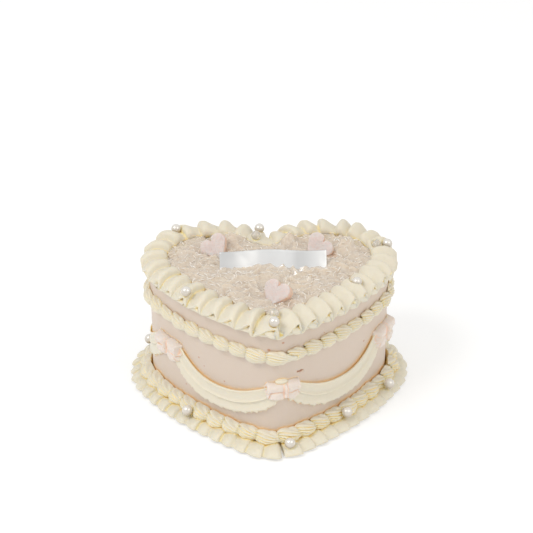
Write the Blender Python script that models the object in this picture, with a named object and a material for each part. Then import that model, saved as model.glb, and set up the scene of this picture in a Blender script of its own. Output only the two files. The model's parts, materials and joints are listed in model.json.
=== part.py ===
"""Heart shaped cake with piped icing, one closed solid for each piece, in metres, +Z up.

The tip of the heart points to -Y, the cleft between its lobes to +Y, and the flat underside
lies on Z = 0 with the middle of the footprint over the origin.
"""
import math
import random

import bmesh
import bpy
from mathutils import Matrix, Vector
from mathutils.bvhtree import BVHTree
from mathutils.geometry import delaunay_2d_cdt

# The heart: two round lobes, two long gently curved sides, a rounded tip and a filleted cleft
BODY_HEIGHT = 0.0892
LOBE_RADIUS = 0.0445
LOBE_CENTRE_X = 0.0408
LOBE_CENTRE_Y = 0.02815
SIDE_RADIUS = 0.1978
LOBE_END_ANGLE = -0.50
TIP_RADIUS = 0.0186
CLEFT_RADIUS = 0.010
ARC_SAG = 0.00005
GAP = 0.0003

# Thick folded ribbon of icing over the top edge
RUFFLE_FOLDS = 38
RUFFLE_STEPS = 6
RUFFLE_INNER = -0.0126
RUFFLE_OUTER = 0.0052
RUFFLE_VALLEY = 0.0048
RUFFLE_CREST = 0.0068
RUFFLE_LIP_DROP = 0.0036
RUFFLE_LEAN = 0.0048
RUFFLE_END_ROLL = 0.0011
RUFFLE_END_DROP = 0.0013
RUFFLE_CROWN_RUN = 0.0050
RUFFLE_CROWN_OUT = 0.0016
RUFFLE_BELLY_OUT = 0.0018
RUFFLE_LIP_TUCK = 0.0016
RUFFLE_LIP_CURL = 0.0010
RUFFLE_DRAPE = 0.0018
RUFFLE_PRESS_RUN = 0.0060

# Rows of piped shells
SHELL_STEPS = 4
SHELL_TAIL = 0.54
SHELL_BULB_AT = 0.28
UPPER_SHELLS = 36
UPPER_SHELL_Z = 0.0706
UPPER_SHELL_HALF_HEIGHT = 0.0051
UPPER_SHELL_DEPTH = 0.0064
UPPER_SHELL_START = 0.0028
BASE_SHELLS = 38
BASE_SHELL_DEPTH = 0.0094
BASE_SHELL_HEIGHT = 0.0094
BASE_SHELL_START = -0.0029
TIP_SHELL_EXTRA = 0.18
TIP_SHELL_RUN = 0.009

# Flat pleated ruffle round the foot, open in one place beside the tip
SKIRT_PLEATS = 54
SKIRT_STEPS = 4
SKIRT_INNER_HEIGHT = 0.0040
SKIRT_STEP = 0.0100
SKIRT_REACH = 0.0156
SKIRT_TIP_REACH = 0.0032
SKIRT_TIP_RUN = 0.060
SKIRT_EDGE_HEIGHT = 0.0028
SKIRT_EDGE_TUCK = 0.0012
SKIRT_PLEAT_HEIGHT = 0.0028
SKIRT_LEAN = 0.0024
SKIRT_SPLIT = 0.0045
SKIRT_SPLIT_WIDTH = 0.0016

# Garlands on the side, which hang between five bows
# Each bow: (place along the side, height, height of the garlands' ends, half width, size)
BOWS = (
    (0.005, 0.0475, 0.0440, 0.0100, 0.84),
    (0.108, 0.0445, 0.0495, 0.0140, 1.00),
    (0.207, 0.0450, 0.0480, 0.0135, 0.95),
    (0.306, 0.0450, 0.0480, 0.0135, 0.95),
    (0.406, 0.0442, 0.0495, 0.0165, 1.00),
)
BOW_RISE = 0.0088
BOW_DROP = 0.0100
BOW_DEPTH = 0.0074
BOW_STEPS = 9
SWAG_LOW_Z = 0.0285
SWAG_WIDTH = 0.0170
SWAG_END_WIDTH = 0.0120
SWAG_THICKNESS = 0.0036
SWAG_END = 0.0058
SWAG_STEPS = 14
SWAG_SAG_POWER = 2.3

# Heap of clear jelly inside the ruffle
FILLING_EDGE = -0.0138
FILLING_EDGE_HEIGHT = 0.0052
FILLING_CROWN = 0.0030
FILLING_CRAG = 0.0017
FILLING_GRAIN = 0.0068
RIM_MARGIN = 0.0052
SWEET_MARGIN = 0.0130
CHIP_SPACING = 0.0105
STRIP_MARGIN = 0.008
CHIPS = 20
CHIP_SIZE = (0.0060, 0.0092)
CHIP_LIFT = 0.12

# Sugared heart sweets: (x, y, sink, tilt of the face up from level, yaw, turn in its own plane)
SWEET_WIDTH = 0.0200
SWEET_THICKNESS = 0.0085
SWEETS = {
    "front": (0.0030, -0.0350, 0.0018, math.radians(42), math.radians(-24), math.radians(-8)),
    "left": (-0.0380, 0.0340, 0.0018, math.radians(38), math.radians(-18), math.radians(42)),
    "right": (0.0352, 0.0320, 0.0018, math.radians(40), math.radians(-12), math.radians(-40)),
}

# Blank silver strip pressed into the jelly, leaning back
STRIP_LENGTH = 0.0750
STRIP_HEIGHT = 0.0150
STRIP_THICKNESS = 0.0007
STRIP_LEAN = math.radians(30)
STRIP_CENTRE = (0.0020, 0.0060)
STRIP_FOOT = 0.0060
STRIP_WAVE = 0.0016
STRIP_STEPS = 12

# Sugar pearls and clear beads: (place along the side, distance outside the side), and on the
# top ruffle also how deep the ball presses it in
PEARL_RADIUS = 0.0040
BEAD_RADIUS = 0.0034
TOP_PEARLS = ((-0.1765, -0.0014, 0.0), (0.1460, 0.0013, 0.0045), (0.0794, -0.0035, 0.0045),
              (-0.0003, 0.0036, 0.0020), (-0.0702, 0.0042, 0.0004), (-0.2445, 0.0003, 0.0))
TOP_BEADS = ((0.1467, -0.0066, 0.0045), (-0.0003, -0.0062, 0.0020), (-0.2467, -0.0098, 0.0))
FOOT_PEARLS = ((-0.0642, 0.0114), (0.0064, 0.0119), (0.0535, 0.0110), (0.1014, 0.0127),
               (0.1650, 0.0120), (0.2220, 0.0120), (-0.1600, 0.0120))

COLOURS = {
    "blush": ((0.67, 0.56, 0.49), 0.55),
    "cream": ((0.80, 0.75, 0.62), 0.45),
    "pink": ((0.78, 0.66, 0.62), 0.45),
    "jelly": ((0.72, 0.62, 0.50), 0.15),
    "sugar": ((0.80, 0.62, 0.60), 0.70),
    "pearl": ((0.84, 0.80, 0.74), 0.20),
    "silver": ((0.82, 0.82, 0.81), 0.25),
}


class HeartPath:
    """Outline of the heart at a distance outside its iced side, with its own cleft fillet.

    Places along it run counterclockwise from the tip, so the right half comes first.
    """

    def __init__(self, offset=0.0, cleft=CLEFT_RADIUS):
        self.offset = offset
        lobe = LOBE_RADIUS + offset
        notch = math.sqrt((lobe + cleft) ** 2 - LOBE_CENTRE_X ** 2)
        reach = LOBE_RADIUS - SIDE_RADIUS
        side_x = LOBE_CENTRE_X + reach * math.cos(LOBE_END_ANGLE)
        side_y = reach * math.sin(LOBE_END_ANGLE)
        side_end = -math.acos(-side_x / (SIDE_RADIUS - TIP_RADIUS))
        tip_y = side_y + (SIDE_RADIUS - TIP_RADIUS) * math.sin(side_end)
        lobe_end = math.atan2(notch, -LOBE_CENTRE_X)
        cleft_start = math.atan2(-notch, LOBE_CENTRE_X)
        self.arcs = (
            (0.0, tip_y, TIP_RADIUS + offset, -math.pi / 2, side_end + math.pi / 2),
            (side_x, side_y, SIDE_RADIUS + offset, side_end, LOBE_END_ANGLE - side_end),
            (LOBE_CENTRE_X, 0.0, lobe, LOBE_END_ANGLE, lobe_end - LOBE_END_ANGLE),
            (0.0, notch, cleft, cleft_start, -math.pi / 2 - cleft_start),
        )
        self.half = sum(radius * abs(sweep) for _, _, radius, _, sweep in self.arcs)
        self.length = 2 * self.half

    def at(self, place):
        """Point of the outline and its outward direction."""
        place %= self.length
        mirrored = place > self.half
        if mirrored:
            place = self.length - place
        for x, y, radius, start, sweep in self.arcs:
            run = radius * abs(sweep)
            if place <= run:
                break
            place -= run
        angle = start + math.copysign(min(place, run) / radius, sweep)
        ray = Vector((math.cos(angle), math.sin(angle), 0.0))
        point = Vector((x, y + LOBE_CENTRE_Y, 0.0)) + radius * ray
        outward = ray if sweep > 0 else -ray
        if mirrored:
            point.x = -point.x
            outward.x = -outward.x
        return point, outward

    def off(self, place, distance, height):
        """Point at a distance outside the cake's side, at a height."""
        point, outward = self.at(place)
        return point + outward * (distance - self.offset) + Vector((0.0, 0.0, height))

    def stations(self):
        """Places along the right and left halves, close enough together for smooth arcs."""
        right = [0.0]
        for _, _, radius, _, sweep in self.arcs:
            steps = math.ceil(radius * abs(sweep) / math.sqrt(8 * radius * ARC_SAG))
            start = right[-1]
            right += [start + radius * abs(sweep) * (k + 1) / steps for k in range(steps)]
        return right[:-1] + [self.length - place for place in reversed(right)][:-1]


SIDE = HeartPath()


def vary(index, amount):
    """A size factor that differs from one piped fold to the next."""
    return 1.0 + amount * math.sin(7.3 * index + 1.1)


def make_material(name):
    colour, roughness = COLOURS[name]
    material = bpy.data.materials.new(name)
    material.use_nodes = True
    shader = material.node_tree.nodes["Principled BSDF"]
    shader.inputs["Base Color"].default_value = (*colour, 1.0)
    shader.inputs["Roughness"].default_value = roughness
    shader.inputs["Metallic"].default_value = 1.0 if name == "silver" else 0.0
    return material


def add_object(name, bm, material, smooth=True):
    """Finish a mesh as triangles that face outwards and put it in the scene."""
    bmesh.ops.triangulate(bm, faces=bm.faces)
    bmesh.ops.recalc_face_normals(bm, faces=bm.faces)
    mesh = bpy.data.meshes.new(name)
    bm.to_mesh(mesh)
    bm.free()
    if smooth:
        mesh.shade_smooth()
        mesh.set_sharp_from_angle(angle=math.radians(40))
    mesh.materials.append(material)
    item = bpy.data.objects.new(name, mesh)
    bpy.context.scene.collection.objects.link(item)
    return item


def loft(sections, closed):
    """Solid through a row of sections with equal numbers of points, joined end to end or capped."""
    bm = bmesh.new()
    loops = [[bm.verts.new(point) for point in section] for section in sections]
    count = len(loops[0])
    pairs = list(zip(loops, loops[1:]))
    if closed:
        pairs.append((loops[-1], loops[0]))
    else:
        bm.faces.new(loops[0])
        bm.faces.new(loops[-1])
    for a, b in pairs:
        for k in range(count):
            n = (k + 1) % count
            bm.faces.new((a[k], a[n], b[n], b[k]))
    return bm


def ring_sections(path, places, profile):
    """Sections round the cake; a profile point is (distance outside the side, height, slide)."""
    return [[path.off(place + slide, out, height) for out, height, slide in profile(path, place)]
            for place in places]


def cake_body(material):
    outline = SIDE.stations()
    bm = bmesh.new()
    floor = [bm.verts.new(SIDE.off(place, 0.0, 0.0)) for place in outline]
    top = [bm.verts.new(SIDE.off(place, 0.0, BODY_HEIGHT)) for place in outline]
    bm.faces.new(floor)
    bm.faces.new(top)
    for k in range(len(outline)):
        n = (k + 1) % len(outline)
        bm.faces.new((floor[k], floor[n], top[n], top[k]))
    return add_object("cake_body", bm, material)


def pressed(place):
    """How far the balls push the top ruffle down at a place."""
    dents = [0.0]
    for spot, _, depth in TOP_PEARLS + TOP_BEADS:
        run = abs((place - spot + SIDE.half) % SIDE.length - SIDE.half)
        dents.append(depth * math.exp(-(run / RUFFLE_PRESS_RUN) ** 2))
    return max(dents)


def ruffle_profile(path, place):
    """Section of the top ruffle, whose crests all lean counterclockwise."""
    fold = place / path.length * RUFFLE_FOLDS
    size = vary(round(fold) % RUFFLE_FOLDS, 0.10)
    crest = (0.5 + 0.5 * math.cos(2 * math.pi * fold)) ** 0.8
    lean = RUFFLE_LEAN * crest
    drape = RUFFLE_DRAPE * max(0.0, 1.0 - 2.0 * min(fold, RUFFLE_FOLDS - fold))
    press = pressed(place / path.length * SIDE.length)
    top = BODY_HEIGHT + RUFFLE_VALLEY - 0.5 * press
    rise = max(0.0, RUFFLE_CREST * crest * size - 0.5 * press)
    out = RUFFLE_OUTER + RUFFLE_BELLY_OUT * crest * size
    under = BODY_HEIGHT - RUFFLE_LIP_DROP
    return (
        (RUFFLE_INNER + RUFFLE_END_ROLL, BODY_HEIGHT + GAP, 0.0),
        (RUFFLE_INNER, top - RUFFLE_END_DROP + 0.5 * rise, 0.4 * lean),
        (RUFFLE_INNER + RUFFLE_CROWN_RUN, top + 0.94 * rise, lean),
        (RUFFLE_CROWN_OUT, top + rise - RUFFLE_END_DROP / 2, lean),
        (out, BODY_HEIGHT - RUFFLE_END_DROP + 0.5 * rise, 0.6 * lean),
        (out - RUFFLE_LIP_TUCK, under - RUFFLE_LIP_CURL * crest - drape, 0.0),
        (2 * GAP, BODY_HEIGHT + GAP, 0.0),
    )


def top_ruffle(material):
    path = HeartPath(-0.003, CLEFT_RADIUS + 0.003)
    count = RUFFLE_FOLDS * RUFFLE_STEPS
    places = [path.length * k / count for k in range(count)]
    return add_object("top_ruffle", loft(ring_sections(path, places, ruffle_profile), True), material)


def shell_swell(place, count, start, length):
    """How fat a row of shells is at a place: each shell starts as a bulb and ends in a tail."""
    part = ((place - start) / length * count + SHELL_BULB_AT) % 1.0
    return SHELL_TAIL + (1.0 - SHELL_TAIL) * math.sin(math.pi * part ** 0.55)


def upper_shell_profile(path, place):
    swell = shell_swell(place, UPPER_SHELLS, UPPER_SHELL_START, path.length)
    half = UPPER_SHELL_HALF_HEIGHT * swell
    depth = UPPER_SHELL_DEPTH * swell
    return (
        (2 * GAP, UPPER_SHELL_Z - 0.75 * half, 0.0),
        (2 * GAP, UPPER_SHELL_Z + 0.75 * half, 0.0),
        (0.55 * depth, UPPER_SHELL_Z + half, 0.0),
        (depth, UPPER_SHELL_Z, 0.0),
        (0.55 * depth, UPPER_SHELL_Z - half, 0.0),
    )


def base_shell_profile(path, place):
    swell = shell_swell(place, BASE_SHELLS, BASE_SHELL_START, path.length)
    from_tip = min(place, path.length - place)
    swell *= 1.0 + TIP_SHELL_EXTRA * max(0.0, 1.0 - from_tip / TIP_SHELL_RUN)
    foot = SKIRT_INNER_HEIGHT + 3 * GAP
    height = BASE_SHELL_HEIGHT * swell
    depth = BASE_SHELL_DEPTH * swell
    return (
        (2 * GAP, foot, 0.0),
        (2 * GAP, foot + 0.90 * height, 0.0),
        (0.45 * depth, foot + height, 0.0),
        (0.95 * depth, foot + 0.50 * height, 0.0),
        (0.85 * depth, foot, 0.0),
    )


def shell_row(name, count, profile, material):
    path = HeartPath()
    places = [path.length * k / (count * SHELL_STEPS) for k in range(count * SHELL_STEPS)]
    return add_object(name, loft(ring_sections(path, places, profile), True), material)


def skirt_profile(path, place):
    """Section of the foot ruffle: level where the shells sit, pleated outside them."""
    pleat = (place - SKIRT_SPLIT) / path.length * SKIRT_PLEATS
    size = vary(math.floor(pleat), 0.14)
    crest = (0.5 - 0.5 * math.cos(2 * math.pi * pleat)) * size
    from_tip = min(place % path.length, path.length - place % path.length)
    reach = SKIRT_REACH + SKIRT_TIP_REACH * math.exp(-(from_tip / SKIRT_TIP_RUN) ** 2)
    reach += SKIRT_EDGE_TUCK * crest
    lean = SKIRT_LEAN * crest
    rise = SKIRT_PLEAT_HEIGHT * crest
    return (
        (2 * GAP, 0.0, 0.0),
        (2 * GAP, SKIRT_INNER_HEIGHT, 0.0),
        (SKIRT_STEP, SKIRT_INNER_HEIGHT + 0.15 * rise, 0.0),
        (reach, SKIRT_EDGE_HEIGHT + rise, lean),
        (reach - SKIRT_EDGE_TUCK, 0.0, 0.0),
    )


def base_ruffle(material):
    path = HeartPath(0.009, CLEFT_RADIUS + 0.0005)
    count = SKIRT_PLEATS * SKIRT_STEPS
    run = path.length - SKIRT_SPLIT_WIDTH
    start = SKIRT_SPLIT + SKIRT_SPLIT_WIDTH / 2
    places = [start + run * k / count for k in range(count + 1)]
    return add_object("base_ruffle", loft(ring_sections(path, places, skirt_profile), False), material)


def swag(name, first, last, material):
    """Ribbon of icing that hangs between two bows, with a step along its middle."""
    start = first[0] + SWAG_END
    end = last[0] + (SIDE.length if last[0] < first[0] else 0.0) - SWAG_END
    span = end - start

    def middle(part):
        ends = first[2] if part < 0.5 else last[2]
        return start + span * part, SWAG_LOW_Z + (ends - SWAG_LOW_Z) * abs(2 * part - 1) ** SWAG_SAG_POWER

    sections = []
    for k in range(SWAG_STEPS + 1):
        part = k / SWAG_STEPS
        before = middle(max(0.0, part - 0.01))
        after = middle(min(1.0, part + 0.01))
        run = math.hypot(after[0] - before[0], after[1] - before[1])
        across = (-(after[1] - before[1]) / run, (after[0] - before[0]) / run)
        place, height = middle(part)
        taper = abs(2 * part - 1) ** 6
        width = SWAG_WIDTH + (SWAG_END_WIDTH - SWAG_WIDTH) * taper
        profile = (
            (2 * GAP, -0.48), (2 * GAP, 0.48), (0.75 * SWAG_THICKNESS, 0.50),
            (0.55 * SWAG_THICKNESS, 0.06), (0.95 * SWAG_THICKNESS, -0.02),
            (SWAG_THICKNESS, -0.30), (0.70 * SWAG_THICKNESS, -0.50),
        )
        sections.append([SIDE.off(place + across[0] * width * b, out, height + across[1] * width * b)
                         for out, b in profile])
    return add_object(name, loft(sections, False), material)


def bow(name, spec, material):
    """Piped bow: two puffed loops with tails below them, pinched in the middle."""
    place, height, _, half_width, size = spec
    back = SWAG_THICKNESS + GAP
    sections = []
    for k in range(BOW_STEPS):
        u = -1 + 2 * k / (BOW_STEPS - 1)
        puff = 0.58 + 0.42 * math.sin(0.9 * math.pi * abs(u)) ** 2
        tail = 0.55 + 0.45 * math.sin(math.pi * min(1.0, 1.15 * abs(u))) ** 2
        rise = BOW_RISE * size * puff
        drop = BOW_DROP * size * tail
        depth = BOW_DEPTH * size * puff
        profile = (
            (back, -0.9 * drop), (back, 0.9 * rise), (back + 0.6 * depth, rise),
            (back + depth, 0.4 * rise), (back + 0.8 * depth, -0.4 * drop), (back + 0.5 * depth, -drop),
        )
        sections.append([SIDE.off(place + u * half_width, out, height + high) for out, high in profile])
    return add_object(name, loft(sections, False), material)


def filling_height(x, y):
    """Height of the jelly's surface above the cake's top at a point, without its crags."""
    swell = 1.0 - (x / 0.075) ** 2 - ((y - 0.01) / 0.08) ** 2
    return FILLING_EDGE_HEIGHT + FILLING_CROWN * max(0.0, swell)


def filling_rim(inset=0.0):
    """Outline of the heap and its inward directions, evenly spaced."""
    edge = HeartPath(FILLING_EDGE - inset, CLEFT_RADIUS - FILLING_EDGE + inset)
    count = round(edge.length / FILLING_GRAIN)
    spots = [edge.at(edge.length * k / count) for k in range(count)]
    return [point.xy for point, _ in spots], [-outward.xy for _, outward in spots]


def within(spot, rim, inward, margin=0.0):
    """Whether a spot lies inside the rim by at least a margin."""
    nearest = min(range(len(rim)), key=lambda k: (rim[k] - spot).length)
    return (spot - rim[nearest]).dot(inward[nearest]) > margin


def boolean(item, tools, operation):
    """Union with, or cut by, the objects in a collection, which are then removed."""
    group = bpy.data.collections.new(item.name + "_tools")
    bpy.context.scene.collection.children.link(group)
    for tool in tools:
        bpy.context.scene.collection.objects.unlink(tool)
        group.objects.link(tool)
    modifier = item.modifiers.new("boolean", "BOOLEAN")
    modifier.operation = operation
    modifier.operand_type = "COLLECTION"
    modifier.collection = group
    evaluated = item.evaluated_get(bpy.context.evaluated_depsgraph_get())
    mesh = bpy.data.meshes.new_from_object(evaluated)
    item.modifiers.remove(modifier)
    item.data = mesh
    for tool in tools:
        bpy.data.objects.remove(tool)
    bpy.data.collections.remove(group)


def jelly_chip(rng, x, y, material):
    """Broken piece of jelly, half sunk in the heap."""
    bm = bmesh.new()
    bmesh.ops.create_icosphere(bm, subdivisions=1, radius=0.5)
    for vertex in bm.verts:
        vertex.co *= rng.uniform(0.72, 1.15)
    size = rng.uniform(*CHIP_SIZE)
    turn = Matrix.Rotation(rng.uniform(0, 2 * math.pi), 4, Vector((rng.random(), rng.random(), 0.3)))
    shape = Matrix.Diagonal((size, 0.75 * size, 0.6 * size, 1.0))
    height = BODY_HEIGHT + filling_height(x, y) + CHIP_LIFT * size
    bm.transform(Matrix.Translation((x, y, height)) @ turn @ shape)
    return add_object("chip", bm, material, smooth=False)


def jelly_places(rng):
    """Spread of places for the chips, none near another, the rim, the strip or a sweet."""
    rim, inward = filling_rim()
    sweets = [Vector(spec[:2]) for spec in SWEETS.values()]
    places = []
    while len(places) < CHIPS:
        spot = Vector((rng.uniform(-0.075, 0.075), rng.uniform(-0.055, 0.060)))
        beside_strip = abs(spot.x) < STRIP_LENGTH / 2 + STRIP_MARGIN
        beside_strip = beside_strip and abs(spot.y - STRIP_CENTRE[1]) < STRIP_MARGIN
        if beside_strip or not within(spot, rim, inward, RIM_MARGIN):
            continue
        if any((other - spot).length < SWEET_MARGIN for other in sweets):
            continue
        if any((other - spot).length < CHIP_SPACING for other in places):
            continue
        places.append(spot)
    return places


def heap_core(rng, material):
    """Low dome of jelly whose whole surface is broken into crags of the chips' size."""
    rim, inward = filling_rim()
    spots = list(rim)
    row = 0.87 * FILLING_GRAIN
    for j in range(-9, 11):
        for i in range(-12, 13):
            shove = Vector((rng.uniform(-0.22, 0.22), rng.uniform(-0.22, 0.22))) * FILLING_GRAIN
            spot = Vector(((i + 0.5 * (j % 2)) * FILLING_GRAIN, j * row)) + shove
            if within(spot, rim, inward, 0.55 * FILLING_GRAIN):
                spots.append(spot)
    flat, _, faces, _, _, _ = delaunay_2d_cdt(spots, [], [list(range(len(rim)))], 1, 1e-7)
    bm = bmesh.new()
    top = []
    for k, spot in enumerate(flat):
        rough = rng.uniform(-1.0, 1.0) * FILLING_CRAG * (0.4 if k < len(rim) else 1.0)
        top.append(bm.verts.new((spot.x, spot.y, BODY_HEIGHT + filling_height(spot.x, spot.y) + rough)))
    for face in faces:
        bm.faces.new([top[k] for k in face])
    foot = [bm.verts.new((spot.x, spot.y, BODY_HEIGHT + GAP)) for spot in rim]
    bm.faces.new(foot)
    for k in range(len(rim)):
        n = (k + 1) % len(rim)
        bm.faces.new((foot[k], foot[n], top[n], top[k]))
    return add_object("filling", bm, material, smooth=False)


def filling(cutters, material):
    """Heap of jelly with its larger chips fused on, cut round the strip and the sweets."""
    rng = random.Random(11)
    heap = heap_core(rng, material)
    boolean(heap, [jelly_chip(rng, spot.x, spot.y, material) for spot in jelly_places(rng)], "UNION")
    boolean(heap, cutters, "DIFFERENCE")
    finish = bmesh.new()
    finish.from_mesh(heap.data)
    bmesh.ops.remove_doubles(finish, verts=finish.verts, dist=0.00002)
    bmesh.ops.dissolve_degenerate(finish, edges=finish.edges, dist=0.00002)
    bmesh.ops.triangulate(finish, faces=finish.faces)
    finish.to_mesh(heap.data)
    finish.free()
    return heap


def sweet_outline(half):
    """Points of a plump little heart, tip down, in its own plane."""
    lobe = 0.56 * half
    points = []
    for k in range(7):
        angle = math.radians(-35 + 155 * k / 6)
        points.append((0.44 * half + lobe * math.cos(angle), 0.30 * half + lobe * math.sin(angle)))
    notch = [(0.0, 0.52 * half)]
    tip = [(0.0, -0.98 * half)]
    lower = [(0.50 * half, -0.52 * half)]
    mirrored = [(-x, y) for x, y in reversed(lower + points)]
    return tip + lower + points + notch + mirrored


def sweet(name, spec, material, grow=0.0):
    """Sugared heart sweet with rounded edges, lying tilted on the jelly."""
    x, y, sink, tilt, yaw, turn = spec
    half = SWEET_WIDTH / 2
    thick = SWEET_THICKNESS / 2 + grow
    sections = []
    for share, depth in ((0.86, -thick), (1.0, -0.55 * thick), (1.0, 0.55 * thick), (0.86, thick)):
        scale = share + grow / (0.6 * half)
        sections.append([Vector((scale * px, scale * py, depth)) for px, py in sweet_outline(half)])
    bm = loft(sections, False)
    stand = (Matrix.Rotation(yaw, 4, "Z") @ Matrix.Rotation(math.pi / 2 - tilt, 4, "X")
             @ Matrix.Rotation(turn, 4, "Z"))
    low = 0.8 * half * math.cos(tilt)
    height = BODY_HEIGHT + filling_height(x, y) + low * 0.85 - sink
    bm.transform(Matrix.Translation((x, y, height)) @ stand)
    return add_object(name, bm, material)


def strip(name, material, grow=0.0):
    """Thin blank strip with a slow wave along it, standing in the jelly and leaning back."""
    half = STRIP_THICKNESS / 2 + grow
    reach = STRIP_LENGTH / 2 + grow
    sections = []
    for k in range(STRIP_STEPS + 1):
        u = -1 + 2 * k / STRIP_STEPS
        wave = STRIP_WAVE * math.cos(1.25 * math.pi * u + 0.4)
        section = []
        for along, out in ((-grow, -half), (STRIP_HEIGHT + grow, -half),
                           (STRIP_HEIGHT + grow, half), (-grow, half)):
            y = STRIP_CENTRE[1] + wave + along * math.sin(STRIP_LEAN) + out * math.cos(STRIP_LEAN)
            z = BODY_HEIGHT + STRIP_FOOT + along * math.cos(STRIP_LEAN) - out * math.sin(STRIP_LEAN)
            section.append(Vector((STRIP_CENTRE[0] + reach * u, y, z)))
        sections.append(section)
    return add_object(name, loft(sections, False), material)


def rest_ball(name, place, distance, radius, carriers, material):
    """Ball lowered until it all but touches what carries it."""
    trees = [BVHTree.FromPolygons([v.co for v in c.data.vertices], [p.vertices for p in c.data.polygons])
             for c in carriers]
    spot = SIDE.off(place, distance, 0.0)

    def clear(height):
        centre = Vector((spot.x, spot.y, height))
        return min(tree.find_nearest(centre)[3] for tree in trees) > radius + GAP

    high = BODY_HEIGHT + 0.04 if carriers[0].name == "top_ruffle" else 0.04
    low = high - 0.045
    for _ in range(30):
        middle = (low + high) / 2
        if clear(middle):
            high = middle
        else:
            low = middle
    bm = bmesh.new()
    bmesh.ops.create_uvsphere(bm, u_segments=8, v_segments=4, radius=radius)
    bm.transform(Matrix.Translation((spot.x, spot.y, high)))
    return add_object(name, bm, material)


def build_cake():
    for item in list(bpy.data.objects):
        bpy.data.objects.remove(item, do_unlink=True)
    finish = {name: make_material(name) for name in COLOURS}
    body = cake_body(finish["blush"])
    ruffle = top_ruffle(finish["cream"])
    shell_row("upper_shells", UPPER_SHELLS, upper_shell_profile, finish["cream"])
    shells = shell_row("base_shells", BASE_SHELLS, base_shell_profile, finish["cream"])
    skirt = base_ruffle(finish["cream"])
    for k, first in enumerate(BOWS):
        swag(f"swag_{k + 1}", first, BOWS[(k + 1) % len(BOWS)], finish["cream"])
        bow(f"bow_{k + 1}", first, finish["pink"])
    for label, spec in SWEETS.items():
        sweet(f"heart_sweet_{label}", spec, finish["sugar"])
    strip("silver_strip", finish["silver"])
    cutters = [sweet("cut", spec, finish["sugar"], GAP + 0.0001) for spec in SWEETS.values()]
    cutters.append(strip("cut", finish["silver"], GAP))
    heap = filling(cutters, finish["jelly"])
    for k, (place, distance, _) in enumerate(TOP_PEARLS):
        rest_ball(f"top_pearl_{k + 1}", place, distance, PEARL_RADIUS, [ruffle, heap], finish["pearl"])
    for k, (place, distance, _) in enumerate(TOP_BEADS):
        rest_ball(f"clear_bead_{k + 1}", place, distance, BEAD_RADIUS, [ruffle, heap], finish["jelly"])
    for k, (place, distance) in enumerate(FOOT_PEARLS):
        rest_ball(f"foot_pearl_{k + 1}", place, distance, PEARL_RADIUS, [skirt, shells, body], finish["pearl"])


build_cake()
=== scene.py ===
"""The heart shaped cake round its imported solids: piped icing, jelly, sweets and pearls, in metres.

The tip of the heart points to -Y and its cleft to +Y. Distances named "out" are measured outwards
from the iced side, and places run counterclockwise from the tip.
"""
import json
import math
import random

import bmesh
import bpy
from mathutils import Matrix, Vector, noise
from mathutils.geometry import delaunay_2d_cdt
from mathutils.kdtree import KDTree

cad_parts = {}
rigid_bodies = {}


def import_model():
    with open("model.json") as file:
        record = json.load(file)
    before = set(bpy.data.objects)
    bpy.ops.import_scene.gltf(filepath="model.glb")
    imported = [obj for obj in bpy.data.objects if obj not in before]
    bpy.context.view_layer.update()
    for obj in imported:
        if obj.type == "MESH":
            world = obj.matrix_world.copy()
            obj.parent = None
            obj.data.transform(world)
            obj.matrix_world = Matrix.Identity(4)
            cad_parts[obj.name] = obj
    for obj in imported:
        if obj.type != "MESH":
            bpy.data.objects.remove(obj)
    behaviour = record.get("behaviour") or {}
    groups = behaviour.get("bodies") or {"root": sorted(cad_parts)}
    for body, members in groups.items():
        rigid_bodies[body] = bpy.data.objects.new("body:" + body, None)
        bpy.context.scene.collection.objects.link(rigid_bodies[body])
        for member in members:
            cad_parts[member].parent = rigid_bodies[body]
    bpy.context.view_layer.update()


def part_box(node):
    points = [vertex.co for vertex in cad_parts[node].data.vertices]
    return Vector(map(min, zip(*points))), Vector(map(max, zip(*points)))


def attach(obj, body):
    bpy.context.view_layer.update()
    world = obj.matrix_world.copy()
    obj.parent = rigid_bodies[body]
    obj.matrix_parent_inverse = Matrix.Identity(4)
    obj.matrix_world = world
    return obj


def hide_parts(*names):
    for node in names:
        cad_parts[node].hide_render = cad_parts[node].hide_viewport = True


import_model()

# The heart's side, as in the solids
BODY_HEIGHT = 0.0892
LOBE_RADIUS = 0.0445
LOBE_CENTRE_X = 0.0408
LOBE_CENTRE_Y = 0.02815
SIDE_RADIUS = 0.1978
LOBE_END_ANGLE = -0.50
TIP_RADIUS = 0.0186
CLEFT_RADIUS = 0.010
TOP_EDGE_ROUND = 0.002

# The body's skin
BODY_STEP = 0.0011
BODY_ROW = 0.0013
BODY_WAVE = 0.00028
GOUGE_PLACE = 0.0198
GOUGE_HEIGHT = 0.0550
GOUGE_LENGTH = 0.0032
GOUGE_WIDTH = 0.0009
GOUGE_DEPTH = 0.0011
GOUGE_BROWN = (0.36, 0.16, 0.09)
# Specks of cake in the icing: (place, height, half size)
SPECKS = ((0.0059, 0.0814, 0.0010), (-0.0641, 0.0754, 0.0008), (-0.0634, 0.0501, 0.0009),
          (-0.0582, 0.0454, 0.0007), (-0.0397, 0.0404, 0.0008), (-0.0780, 0.0217, 0.0008),
          (0.0854, 0.0510, 0.0010), (0.0410, 0.0770, 0.0006), (-0.0038, 0.0764, 0.0012),
          (0.0660, 0.0640, 0.0007), (-0.0210, 0.0300, 0.0007))
SPECK_BROWN = (0.50, 0.26, 0.16)

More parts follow.
